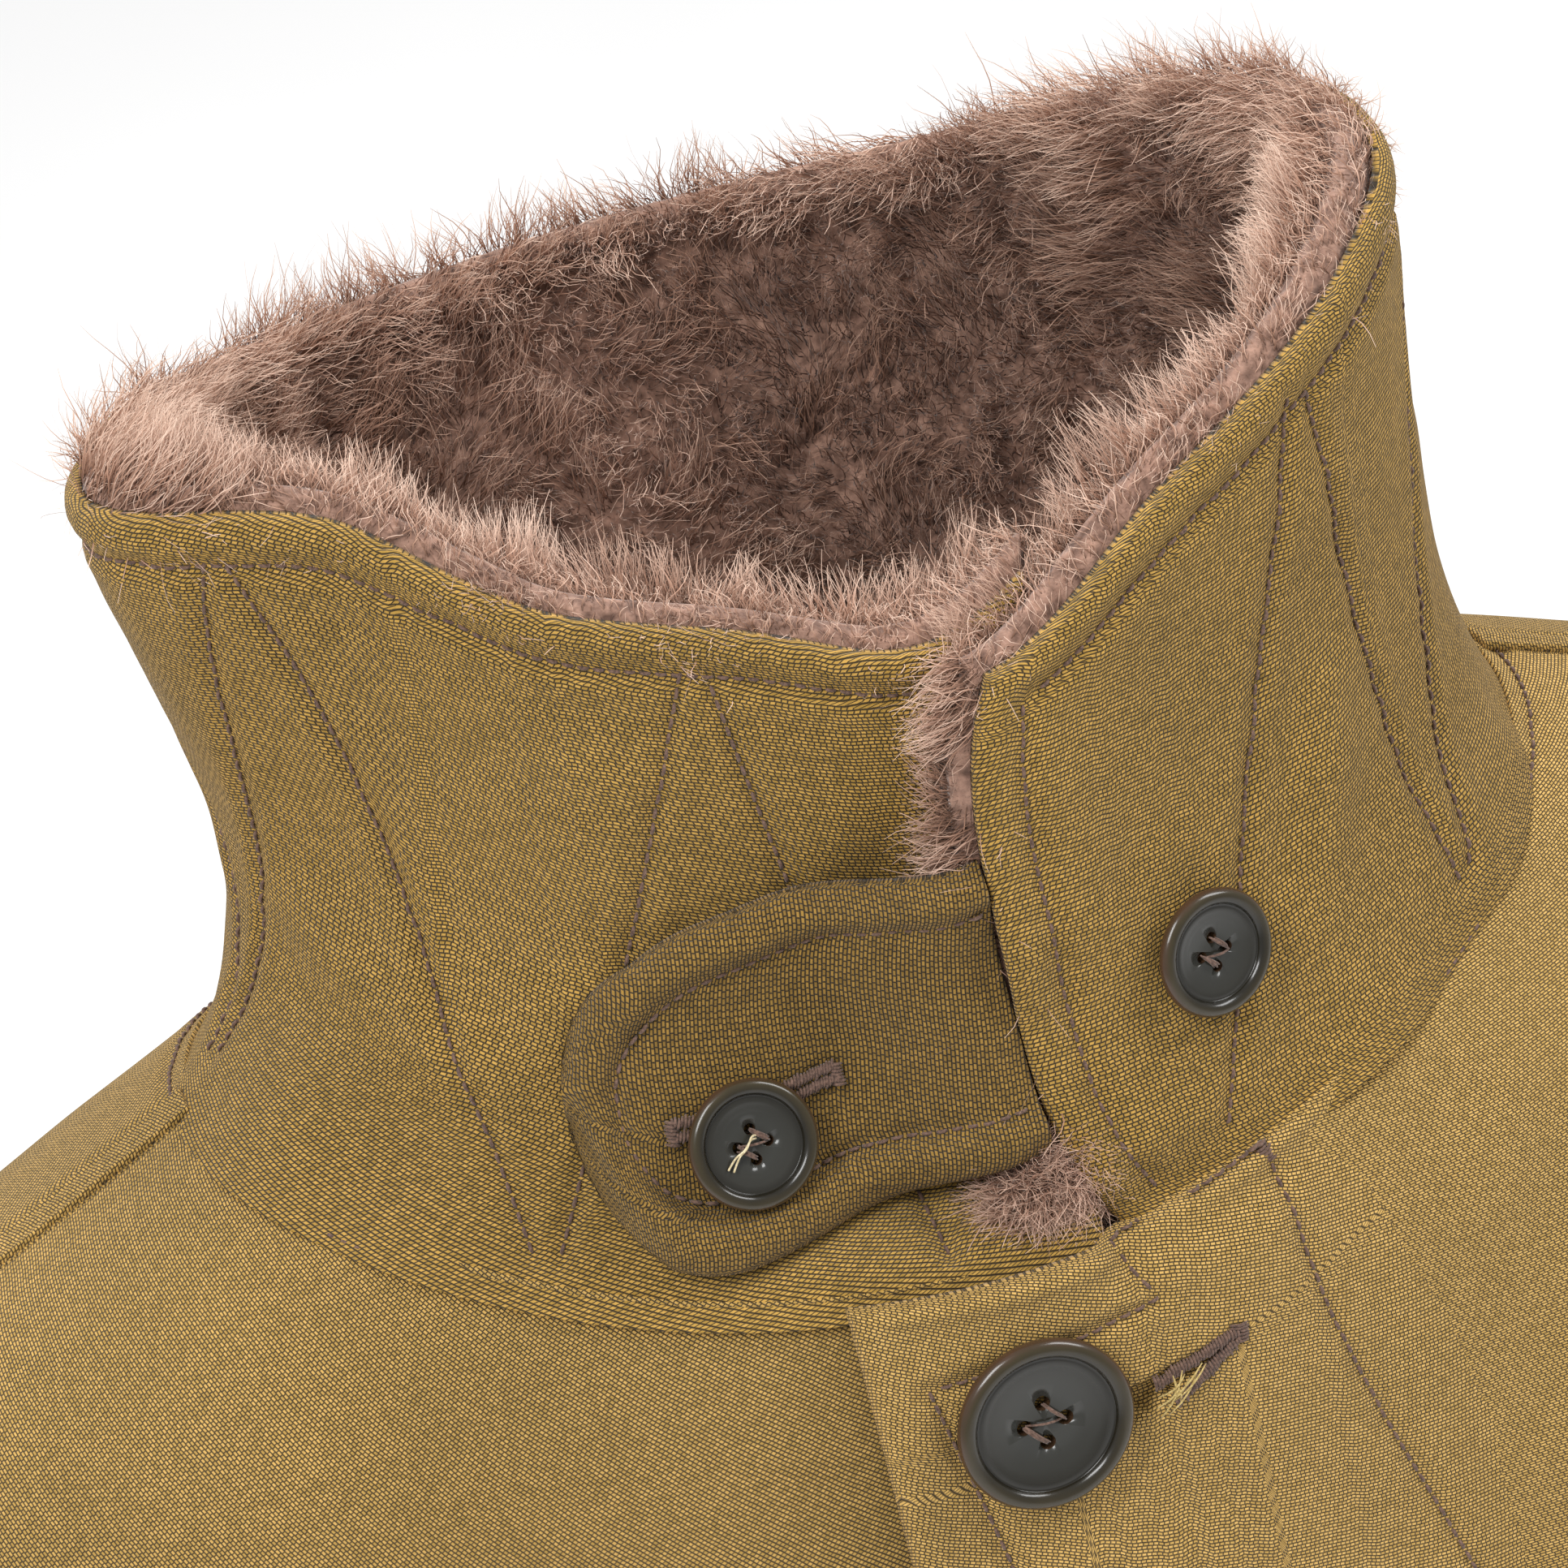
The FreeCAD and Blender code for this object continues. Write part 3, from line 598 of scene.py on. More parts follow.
def cord_weave(name, light, mid, gap, dash, row, slant, skew, depth):
    """Cord-weave cotton: rows of slightly slanted dashes with dark gaps, in cloth millimetres."""
    material, nodes, shader, link = new_material(name, 0.82, Sheen_Weight=0.12, Sheen_Roughness=0.5,
                                                 Specular_IOR_Level=0.25)
    uv = nodes.new("ShaderNodeUVMap")
    uv.uv_map = "Weave"
    position = nodes.new("ShaderNodeNewGeometry").outputs["Position"]
    split = nodes.new("ShaderNodeSeparateXYZ")
    link(uv.outputs[0], split.inputs[0])
    wobble = math_node(nodes, link, "SUBTRACT", noise_node(nodes, link, position, 260, 2), 0.5)
    across = multiply_add(nodes, link, split.outputs[1], skew, split.outputs[0])
    across = multiply_add(nodes, link, wobble, 0.6 * dash, across)
    along = multiply_add(nodes, link, split.outputs[0], slant, split.outputs[1])
    along = multiply_add(nodes, link, wobble, 0.4 * row, along)
    join = nodes.new("ShaderNodeCombineXYZ")
    link(across, join.inputs[0])
    link(along, join.inputs[1])
    brick = nodes.new("ShaderNodeTexBrick")
    brick.offset = 0.24
    brick.offset_frequency = 2
    brick.inputs["Scale"].default_value = 1
    brick.inputs["Mortar Size"].default_value = 0.26 * row
    brick.inputs["Mortar Smooth"].default_value = 1
    brick.inputs["Bias"].default_value = 0
    brick.inputs["Brick Width"].default_value = dash
    brick.inputs["Row Height"].default_value = row
    brick.inputs["Color1"].default_value = light
    brick.inputs["Color2"].default_value = mid
    brick.inputs["Mortar"].default_value = gap
    link(join.outputs[0], brick.inputs["Vector"])
    fibres = noise_node(nodes, link, position, 2600, 3)
    fade = noise_node(nodes, link, position, 22, 3)
    faded = ramp_node(nodes, link, fade, [(0.30, (0.90, 0.90, 0.88, 1)), (0.70, (1.06, 1.06, 1.08, 1))])
    speckle = ramp_node(nodes, link, fibres, [(0.30, (0.88, 0.87, 0.85, 1)), (0.72, (1.10, 1.09, 1.07, 1))])
    colour = mix_colours(nodes, link, 1.0, brick.outputs["Color"], faded, "MULTIPLY")
    colour = mix_colours(nodes, link, 1.0, colour, speckle, "MULTIPLY")
    link(colour, shader.inputs["Base Color"])
    height = math_node(nodes, link, "SUBTRACT", 1.0, brick.outputs["Fac"])
    height = math_node(nodes, link, "ADD", height, math_node(nodes, link, "MULTIPLY", fibres, 0.2))
    bump_node = nodes.new("ShaderNodeBump")
    bump_node.inputs["Strength"].default_value = 0.9
    bump_node.inputs["Distance"].default_value = depth / 1000
    link(height, bump_node.inputs["Height"])
    link(bump_node.outputs[0], shader.inputs["Normal"])
    return material


def fibre_material(name, dark, light, grain, roughness=0.75, sheen=0.2, depth=0.15):
    """Thread, knit or tape: fine fibres over a mottled colour."""
    material, nodes, shader, link = new_material(name, roughness, Sheen_Weight=sheen)
    position = nodes.new("ShaderNodeNewGeometry").outputs["Position"]
    fibres = noise_node(nodes, link, position, grain, 3)
    colour = ramp_node(nodes, link, fibres, [(0.30, dark), (0.70, light)])
    link(colour, shader.inputs["Base Color"])
    bump_node = nodes.new("ShaderNodeBump")
    bump_node.inputs["Strength"].default_value = 0.7
    bump_node.inputs["Distance"].default_value = depth / 1000
    link(fibres, bump_node.inputs["Height"])
    link(bump_node.outputs[0], shader.inputs["Normal"])
    return material


def fur_material():
    """Pile fibres: darker towards the root, which is painted shade down in the pile, and light at the tip; each tuft
    its own tone.
    """
    material, nodes, shader, link = new_material("pile_fibre", 0.62, Sheen_Weight=0.25,
                                                 Sheen_Roughness=0.4, Specular_IOR_Level=0.35)
    uv = nodes.new("ShaderNodeUVMap")
    uv.uv_map = "OFBake"
    split = nodes.new("ShaderNodeSeparateXYZ")
    link(uv.outputs[0], split.inputs[0])
    # Both ramps darken towards the root: painted shade for the shadow down in the pile.
    deep = ramp_node(nodes, link, split.outputs[1],
                     [(0.0, srgb(54, 34, 25)), (0.45, srgb(122, 86, 67)), (1.0, srgb(196, 154, 130))])
    pale = ramp_node(nodes, link, split.outputs[1],
                     [(0.0, srgb(108, 76, 59)), (0.45, srgb(186, 145, 122)), (1.0, srgb(248, 220, 200))])
    colour = mix_colours(nodes, link, split.outputs[0], deep, pale)
    link(colour, shader.inputs["Base Color"])
    return material


def button_material():
    """Glossy dark polyester with a slate face and an olive-brown rim."""
    material, nodes, shader, link = new_material("dark_button", 0.24, Coat_Weight=0.25,
                                                 Coat_Roughness=0.08, Specular_IOR_Level=0.4)
    uv = nodes.new("ShaderNodeUVMap")
    uv.uv_map = "OFBake"
    split = nodes.new("ShaderNodeSeparateXYZ")
    link(uv.outputs[0], split.inputs[0])
    position = nodes.new("ShaderNodeNewGeometry").outputs["Position"]
    swirl = math_node(nodes, link, "SUBTRACT", noise_node(nodes, link, position, 180, 3), 0.5)
    squares = [math_node(nodes, link, "POWER",
                         math_node(nodes, link, "SUBTRACT", split.outputs[axis], 0.5), 2)
               for axis in (0, 1)]
    total = math_node(nodes, link, "ADD", *squares)
    reach = math_node(nodes, link, "MULTIPLY", math_node(nodes, link, "SQRT", total, 0.0), 2.0)
    reach = math_node(nodes, link, "ADD", reach, math_node(nodes, link, "MULTIPLY", swirl, 0.10))
    colour = ramp_node(nodes, link, reach,
                       [(0.0, srgb(42, 41, 34)), (0.34, srgb(50, 50, 46)), (0.60, srgb(44, 43, 38)),
                        (0.78, srgb(28, 25, 17)), (0.93, srgb(56, 48, 29)), (1.0, srgb(72, 52, 38))])
    link(colour, shader.inputs["Base Color"])
    return material


def metal_material():
    material, nodes, shader, link = new_material("zip_metal", 0.34, Metallic=1.0)
    position = nodes.new("ShaderNodeNewGeometry").outputs["Position"]
    worn = noise_node(nodes, link, position, 320, 4)
    colour = ramp_node(nodes, link, worn, [(0.3, srgb(120, 104, 66)), (0.7, srgb(196, 178, 128))])
    link(colour, shader.inputs["Base Color"])
    rough = ramp_node(nodes, link, worn, [(0.3, (0.5, 0.5, 0.5, 1)), (0.7, (0.26, 0.26, 0.26, 1))])
    link(rough, shader.inputs["Roughness"])
    return material


LIGHT_YARN = srgb(198, 157, 77)
MID_YARN = srgb(160, 126, 54)
DEEP_GAP = srgb(34, 25, 8)
collar_weave = cord_weave("collar_cord_cloth", LIGHT_YARN, MID_YARN, DEEP_GAP, 1.05, 0.64, -0.16, 0.3, 0.40)
chest_weave = cord_weave("chest_cord_cloth", srgb(206, 166, 91), srgb(172, 138, 68), srgb(44, 33, 12),
                         0.92, 0.58, -0.42, 0.3, 0.32)
# A lighter copy of the chest's weave for the left front and the storm flap: painted light, for the brighter light
# that falls on the flap.
lit_left_weave = cord_weave("lit_left_cord_cloth", srgb(222, 181, 104), srgb(188, 151, 78), srgb(54, 41, 15),
                        0.92, 0.58, -0.42, 0.3, 0.32)
# A darker copy of the collar's weave for the tab: painted shade, for the shadow that lies over the tab.
shaded_tab_weave = cord_weave("shaded_tab_cord_cloth", srgb(160, 125, 58), srgb(128, 99, 42), DEEP_GAP,
                       1.05, 0.64, -0.16, 0.3, 0.40)
thread_material = fibre_material("seam_thread", srgb(66, 45, 35), srgb(124, 95, 80), 2200)
yellow_thread = fibre_material("loose_yarn", srgb(150, 124, 62), srgb(214, 190, 122), 2200)
pale_thread = fibre_material("pale_thread", srgb(186, 166, 120), srgb(236, 222, 184), 2200)
tape_material = fibre_material("zip_tape", srgb(92, 72, 38), srgb(134, 108, 62), 1500)
drill_material = fibre_material("pocket_drill", srgb(120, 96, 52), srgb(162, 134, 82), 1300)
knit_material = fibre_material("rib_knit", srgb(84, 60, 46), srgb(126, 94, 76), 900, 0.9, 0.4, 0.4)
pile_base_material = fibre_material("pile_base", srgb(92, 65, 52), srgb(174, 136, 117), 420, 0.9, 0.3, 1.2)
pile_fibre_material = fur_material()
dark_button_material = button_material()
zip_metal_material = metal_material()


def belongs(piece, body_name, slot_name, *nodes):
    """Ride on a body and stand for CAD nodes, which are hidden; slot_name is not used."""
    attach(piece, body_name)
    if nodes:
        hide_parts(*nodes)
    return piece


# Collar

def collar_seam(share_gap):
    """Share of the collar's height taken by a distance from its top edge, in millimetres."""
    return 1 - share_gap / COLLAR_HEIGHT


def crease(points, start, end, width, height):
    """A soft ridge or hollow along a straight line, fading at both ends."""
    start, end = np.asarray(start, dtype=float), np.asarray(end, dtype=float)
    line = end - start
    length = np.linalg.norm(line)
    share = np.clip(((points - start) @ line) / length ** 2, 0, 1)
    away = np.linalg.norm(points - start - share[:, None] * line, axis=1)
    fade = smooth(share / 0.3) * smooth((1 - share) / 0.3)
    return height * bump(away, width) * fade


EDGE_STITCH = 7.5                    # topstitching in from the collar's edges
COLLAR_CREASES = [  # start, end, width, height
    ((-93, -1, 68), (-68, -43, 31), 6, 2.6),
    ((-95, 12, 47), (-79, -38, 25), 5, -1.6),
    ((-48, -37, 92), (-50, -42, 54), 7, 1.5),
    ((-24, -41, 88), (-34, -44, 50), 6, -1.2),
    ((-83, -15, 104), (-72, -28, 58), 7, 1.4),
    ((-9, -45, 72), (-20, -48, 52), 6, 1.3),
    ((15, -60, 84), (22, -65, 30), 6, 1.6),
    ((37, -55, 92), (58, -57, 26), 8, -1.4),
    ((70, -46, 74), (56, -57, 28), 6, 2.0),
    ((84, -38, 62), (80, -42, 30), 6, -1.4),
]


def collar_folds(points):
    """Soft waves of the collar, stronger low down where it has been turned and worn."""
    low = smooth((75 - points[:, 2]) / 60)
    wave = noise(points, (32, 32, 24), 11) * (1.5 + 2.2 * low)
    fine = noise(points, (13, 13, 10), 12) * (0.35 + 0.65 * low)
    total = wave + fine
    for start, end, width, height in COLLAR_CREASES:
        total = total + crease(points, start, end, width, height)
    deepest = 0.45                   # the pile lies close under the cloth
    return np.where(total < 0, -deepest * np.tanh(-total / deepest), total)


collar_piece = Cloth(collar, collar_folds, depth=0.8, width=1.6)
ZIGZAG = [  # angle and share of each corner of the quilting
    [(-8.5, 0.03), (-18, 0.93)], [(-20.5, 0.93), (-41.5, 0.03)],
    [(-44, 0.03), (-74.5, 0.93)], [(-77, 0.93), (-93.5, 0.05)],
    [(-96, 0.05), (-112, 0.93)], [(-114.5, 0.93), (-132, 0.05)],
    [(-134.5, 0.05), (-151, 0.93)], [(-153.5, 0.93), (-170, 0.05)],
    [(-172.5, 0.05), (-189, 0.93)], [(-191.5, 0.93), (-208, 0.05)],
    [(-210.5, 0.05), (-227, 0.93)], [(-229.5, 0.93), (-246, 0.05)],
    [(-248.5, 0.05), (-281, 0.94)], [(-283.5, 0.94), (-309, 0.04)],
    [(-311, 0.04), (-316, 0.94)], [(-318.5, 0.95), (-343.5, 0.04)],
]
for first, last in ZIGZAG:
    middle = ((first[0] + last[0]) / 2, (first[1] + last[1]) / 2)
    collar_piece.seam([first, middle, last])
top_stitch_share = collar_seam(EDGE_STITCH)
collar_piece.seam([(degrees, top_stitch_share) for degrees in np.linspace(10, -351, 40)])
left_stitch_turn = 4.4               # degrees that the stitching lies in from the left end
collar_piece.seam([(left_end(share) + left_stitch_turn, share)
                   for share in np.linspace(0.02, top_stitch_share, 12)])
collar_piece.settle()


def edge_round(distance, radius):
    """How far a rolled edge falls away from the face, at a distance from the edge."""
    inside = np.clip(distance / radius, 0, 1)
    return radius * (1 - np.sqrt(1 - (1 - inside) ** 2))


def edge_spaced(count, length, fine):
    """Shares from 0 to 1 that crowd within the first and last millimetres."""
    even = np.linspace(0, length, count)
    close = np.array([0, 0.12, 0.35, 0.7, 1.2, 1.9, 2.8]) * fine
    places = np.unique(np.concatenate([close, length - close,
                                       even[(even > 3.4 * fine) & (even < length - 3.4 * fine)]]))
    return places / length


FOOT = 0.035                         # share of the height that the cloth runs on below the seam


def make_collar():
    across = edge_spaced(500, 560, 1.0)
    along = edge_spaced(84, COLLAR_HEIGHT, 1.0) * (1 + FOOT) - FOOT
    share, height = np.meshgrid(across, along, indexing="ij")
    first, last = right_end(height), left_end(height)
    degrees = first + (last - first) * share
    to_top = (1 - height) * COLLAR_HEIGHT
    to_left = (1 - share) * 560
    to_right = share * 560
    nearest = np.minimum(np.minimum(to_top, to_left), to_right)
    roll = 0.55 * bump(nearest - 3.2, 2.6) - edge_round(nearest, 1.5)
    outer = collar_piece.place(degrees, height, roll)
    inner = outer - normals(collar, degrees, height, 1) * np.maximum(
        2 * SHELL - 1.4 - edge_round(nearest, 1.2) * 0.6, 0.25)[..., None]
    piece = two_faced("collar_cloth", outer, inner, [collar_weave])
    belongs(piece, COAT, "cord_cloth", "collar_shell")
    belongs(stitched("collar_stitching", collar_piece), COAT, "thread")


make_collar()


# Pile: a soft base and many fine fibres

PILE_EDGE = 2.2                      # the pile's roll stands this far past the cloth's edge
PILE_ROLL = 7.0


def pile_collar(across, along, inner):
    """The pile of the collar. inner 0 is the face on the cloth, 1 the face towards the neck."""
    across, along, inner = np.broadcast_arrays(across, along, inner)
    length = 560 + 2 * PILE_EDGE
    share = (across * length - PILE_EDGE) / 560
    height = along * (1 + PILE_EDGE / COLLAR_HEIGHT)
    clipped = np.clip(height, 0, 1)
    first, last = right_end(clipped), left_end(clipped)
    degrees = first + (last - first) * share
    nearest = np.minimum((1 - along) * (COLLAR_HEIGHT + PILE_EDGE),
                         np.minimum(across, 1 - across) * length)
    thick = PILE - edge_round(np.maximum(nearest, 0), PILE_ROLL) * (PILE / PILE_ROLL)
    middle = -SHELL - PILE_GAP - PILE / 2
    lift = middle + thick * (0.5 - inner)
    points = collar(degrees, height)
    return points + normals(collar, degrees, height, 1) * lift[..., None]


def fur_lumps(points):
    return noise(points, 13, 21) * 1.3 + noise(points, 6, 22) * 0.6


def make_pile_collar():
    across = edge_spaced(260, 560, 1.6)
    along = edge_spaced(48, COLLAR_HEIGHT, 1.6)
    along = along[along > 0.02]
    share, height = np.meshgrid(across, along, indexing="ij")
    outer = pile_collar(share, height, 0.0)
    inner = pile_collar(share, height, 1.0)
    inward = unit(inner - outer + 1e-6)
    inner = inner + inward * (0.7 * fur_lumps(inner))[..., None] * smooth((1 - height) / 0.08)[..., None]
    piece = two_faced("collar_pile", outer, inner, [pile_base_material])
    belongs(piece, COAT, "pile", "collar_lining")


make_pile_collar()


def ribbons(paths, side, widths):
    """Flat fibres along many equal paths: points and faces."""
    count, stations = paths.shape[:2]
    half = side[:, None] * np.asarray(widths)[None, :, None] / 2
    points = np.stack([paths - half, paths + half], axis=2)
    index = np.arange(count * stations * 2).reshape(count, stations, 2)
    quads = np.stack([index[:, :-1, 0], index[:, :-1, 1], index[:, 1:, 1], index[:, 1:, 0]], axis=-1)
    return points.reshape(-1, 3), quads.reshape(-1, 4)


FIBRES_PER_PIECE = 19000
FIBRE_STATIONS = 6
TINTS = 60                           # shades of fibre between the darkest and the lightest
FIBRE_WIDTHS = [0.20, 0.20, 0.18, 0.15, 0.11, 0.05]


def grow(name, roots, outward, lean, lengths, shade, body_name=COAT, clump=5.0, pull=0.45, curl=2.2,
         seed=5):
    """Fibres from roots: they leave outward, lean over, gather in tufts and curl."""
    random = np.random.default_rng(seed)
    tufts = roots[random.choice(len(roots), max(len(roots) // 34, 2), replace=False)]
    tree = KDTree(len(tufts))
    for number, point in enumerate(tufts):
        tree.insert(point, number)
    tree.balance()
    nearest = np.array([tree.find(point)[1] for point in roots])
    to_tuft = tufts[nearest] - roots
    far = np.linalg.norm(to_tuft, axis=1, keepdims=True)
    to_tuft = to_tuft * np.minimum(1, clump / np.maximum(far, 1e-6))
    swirl = np.stack([noise(roots, 7, seed + axis) for axis in range(3)], axis=-1)
    stray = random.normal(0, 1, roots.shape)
    direction = unit(outward + lean + swirl * 0.55 + stray * 0.16)
    side = unit(np.cross(direction, random.normal(0, 1, roots.shape)))
    bend = unit(np.cross(direction, random.normal(0, 1, roots.shape)))
    shares = np.linspace(0, 1, FIBRE_STATIONS)
    paths = np.empty((len(roots), FIBRE_STATIONS, 3))
    twist = random.uniform(2.5, 5.5, (len(roots), 1))
    for station, share in enumerate(shares):
        curled = (bend * (1 - np.cos(twist * share)) + side * np.sin(twist * share)) * 1.0 * share ** 0.5
        paths[:, station] = (roots + direction * (lengths * share)[:, None]
                             + to_tuft * pull * share ** 1.5
                             + swirl * curl * share ** 2 + curled
                             + lean * (lengths * 0.25 * share ** 2)[:, None])
    pieces = []
    for start in range(0, len(roots), FIBRES_PER_PIECE):
        part = slice(start, start + FIBRES_PER_PIECE)
        points, quads = ribbons(paths[part], side[part], FIBRE_WIDTHS)
        tint = np.clip(np.round(shade[part] * TINTS) / TINTS, 0.02, 0.98)
        sides = np.tile([-0.5 / TINTS, 0.5 / TINTS], len(tint) * FIBRE_STATIONS)
        uv = np.stack([np.repeat(tint, FIBRE_STATIONS * 2) + sides,
                       np.tile(np.repeat(shares * 0.98 + 0.01, 2), len(tint))], axis=-1)
        number = start // FIBRES_PER_PIECE + 1
        piece = quad_mesh(f"{name}_{number}", points, quads, [pile_fibre_material], uv, "OFBake")
        belongs(piece, body_name, "pile")
        pieces.append(piece)
    return pieces


INNER_FIBRES = 92000
RIM_FIBRES = 26000


def make_collar_fibres():
    random = np.random.default_rng(7)
    across = random.random(INNER_FIBRES)
    along = 0.03 + 0.955 * random.random(INNER_FIBRES)
    roots = pile_collar(across, along, 1.0)
    skin = pile_collar(across, along, 0.0)
    inward = unit(roots - skin)
    up = np.array([0.0, 0.0, 1.0])
    bumps = fur_lumps(roots)
    lengths = 10.0 + 2.5 * bumps + random.normal(0, 1.5, INNER_FIBRES)
    lengths = np.clip(lengths, 4, 17) * (0.7 + 0.3 * smooth((1 - along) / 0.09))
    shade = 0.44 + 0.55 * noise(roots, (24, 24, 20), 31) + 0.28 * noise(roots, 10, 32)
    shade = shade + random.normal(0, 0.10, INNER_FIBRES) + 0.30 * smooth((along - 0.76) / 0.24)
    lean = up * (0.30 + 0.35 * noise(roots, 30, 33) + 0.5 * smooth((along - 0.8) / 0.2))[:, None]
    grow("pile_fibres", roots + inward * (0.5 * bumps)[:, None], inward, lean, lengths, shade)


def make_rim_fibres():
    """Short combed fibres that lie across the pile's rolled edge."""
    random = np.random.default_rng(8)
    top = int(RIM_FIBRES * 0.78)
    across = np.concatenate([random.random(top), np.zeros(RIM_FIBRES - top)])
    along = np.concatenate([np.ones(top), random.random(RIM_FIBRES - top)])
    depth = random.random(RIM_FIBRES)
    side = np.arange(RIM_FIBRES) >= top
    end = random.random(RIM_FIBRES) * (PILE_ROLL / 560)
    across = np.where(side, np.where(random.random(RIM_FIBRES) < 0.72, 1 - end * depth, end * depth), across)
    along = np.where(side, along, 1 - depth * PILE_ROLL / (COLLAR_HEIGHT + PILE_EDGE))
    face = np.where(random.random(RIM_FIBRES) < 0.45, 0.0, 1.0)
    roots = pile_collar(across, along, face)
    centre = pile_collar(np.where(side, np.clip(across, 0.012, 0.988), across),
                         np.where(side, along, np.minimum(along, 0.94)), 0.5)
    outward = unit(roots - centre)
    inner = pile_collar(across, np.minimum(along, 0.9), 1.0)
    outer = pile_collar(across, np.minimum(along, 0.9), 0.0)
    inward = unit(inner - outer)
    lengths = np.clip(random.normal(3.4, 0.8, RIM_FIBRES), 1.6, 6)
    behind = smooth((0.31 - np.abs(across - 0.5)) / 0.08)
    at_left_end = side & (across > 0.5)
    lengths = lengths * (1 + 1.3 * behind + 1.1 * at_left_end)
    loose = random.random(RIM_FIBRES) < 0.07
    lengths = np.where(loose, lengths + random.uniform(2, 6, RIM_FIBRES), lengths)
    shade = 0.84 + 0.16 * noise(roots, 12, 34) + random.normal(0, 0.08, RIM_FIBRES)
    shade = shade - 0.25 * at_left_end
    outward = outward + (random.normal(0, 0.5, roots.shape) * loose[:, None])
    grow("rim_fibres", roots, outward * 0.75, inward * 0.8, lengths, shade, clump=1.5, pull=0.3,
         curl=1.8, seed=9)


TUFT_MIDDLE = np.array([2.8, -66.5, 6.5])
TUFT_HALVES = np.array([9.0, 4.0, 7.0])
TUFT_FIBRES = 6000


def make_neck_tuft():
    """The pile that swells out between the collar's ends, below the tab."""
    across, along = np.meshgrid(np.linspace(0, 2 * math.pi, 40, endpoint=False),
                                np.linspace(0.03, math.pi - 0.03, 24), indexing="ij")
    ball = np.stack([np.cos(across) * np.sin(along), np.sin(across) * np.sin(along), np.cos(along)], axis=-1)
    points = TUFT_MIDDLE + ball * TUFT_HALVES
    lumps = 1 + 0.12 * noise(points.reshape(-1, 3), 4, 91).reshape(across.shape)
    points = TUFT_MIDDLE + ball * TUFT_HALVES * lumps[..., None]
    base = quad_mesh("neck_tuft_base", points.reshape(-1, 3), grid_quads(40, 24, True), [pile_base_material])
    belongs(base, COAT, "pile")
    random = np.random.default_rng(12)
    outward = unit(random.normal(0, 1, (TUFT_FIBRES, 3)) - (0, 0.6, 0))
    roots = TUFT_MIDDLE + outward * TUFT_HALVES * 0.98
    tangle = random.normal(0, 1.5, (TUFT_FIBRES, 3)) + (-0.5, -0.2, -0.3)
    lengths = np.clip(random.normal(3.2, 1.2, TUFT_FIBRES), 1, 7)
    shade = 0.55 + 0.3 * noise(roots, 6, 35) + random.normal(0, 0.12, TUFT_FIBRES)
    grow("neck_tuft_fibres", roots, outward * 0.6, tangle * 0.6, lengths, shade, clump=3.0, pull=0.5,
         curl=3.0, seed=13)


make_collar_fibres()
make_rim_fibres()
make_neck_tuft()


# Chest, back and shoulders

CHEST_CREASES = [  # start, end, width, height: soft folds listed one by one on the yoke
    ((-100, -74, -10), (-46, -84, -24), 8, 3.2),
    ((-112, -72, -26), (-52, -88, -44), 8, -3.0),
    ((-70, -84, -30), (-30, -86, -62), 8, 2.4),
    ((86, -62, 2), (66, -78, -30), 8, 1.6),
    ((62, -82, -16), (74, -84, -70), 8, -2.4),
    ((108, -60, -8), (84, -80, -50), 9, 2.6),
]


def body_folds(points):
    total = noise(points, (60, 60, 75), 41) * 3.0 + noise(points, (24, 24, 34), 42) * 1.1
    total = total * smooth((20 - points[:, 2]) / 40 + 0.25)
    for start, end, width, height in CHEST_CREASES:
        total = total + crease(points, start, end, width, height)
    neck = np.hypot(points[:, 0] / NECK_HALF_WIDTH, points[:, 1] / NECK_DEPTH)
    total = total * (0.35 + 0.65 * smooth((neck - 1) / 0.25))
    closing = smooth((np.abs(points[:, 0] - 10) - 12) / 30)
    drape = 6.0 * np.maximum(noise(points, (40, 40, 240), 43), 0) * smooth((-220 - points[:, 2]) / 160)
    total = total + drape
    yoke = smooth((points[:, 2] + 260) / 80) * smooth(-points[:, 1] / 20)
    deepest = 0.40 + 2.2 * yoke      # the lining and the pocket bags lie close under the cloth
    total = np.where(total < 0, -deepest * np.tanh(-total / deepest), total)
    return np.where(points[:, 1] < 0, total * (0.25 + 0.75 * closing), total)


SHOULDER = 90.0
NECK_STITCH = 0.16                   # step of the stitching below the neck seam
ZIP_X = 10.0
CLOTH_EDGE = 8.0

body_piece = Cloth(body, body_folds, depth=0.5, width=1.6)
body_piece.seam([(degrees, NECK_STITCH) for degrees in np.linspace(-88, -30, 10)])
body_piece.seam([(degrees, NECK_STITCH) for degrees in np.linspace(-30, -4, 6)])
body_piece.seam([(degrees, NECK_STITCH) for degrees in np.linspace(27, 268, 30)])
for turn in (96.5, -96.5):
    body_piece.seam([(turn - 0.02 * turn * step, step) for step in np.linspace(0.1, 2.9, 6)])
body_piece.seam([(degrees, HEM - 0.32) for degrees in np.linspace(12, 346, 60)])
body_piece.settle()


def panel_grid(first_degrees, last_degrees, columns, first_x=None, last_x=None):
    steps = np.unique(np.concatenate([[0, 0.02, 0.05, 0.09], np.linspace(0.13, 3.2, 76),
                                      np.linspace(3.2, 9.9, 96), [9.95, 9.98, HEM]]))
    shares = edge_spaced(columns, columns * 2.0, 1.0)
    share, step = np.meshgrid(shares, steps, indexing="ij")
    first = first_degrees if first_x is None else degrees_at(first_x, step)
    last = last_degrees if last_x is None else degrees_at(last_x, step)
    return first + (last - first) * share, step


ARMHOLE_BACK = 8
ARMHOLE_HEIGHT = -119
ARMHOLE_TALL = 91
ARMHOLE_DEEP = 62


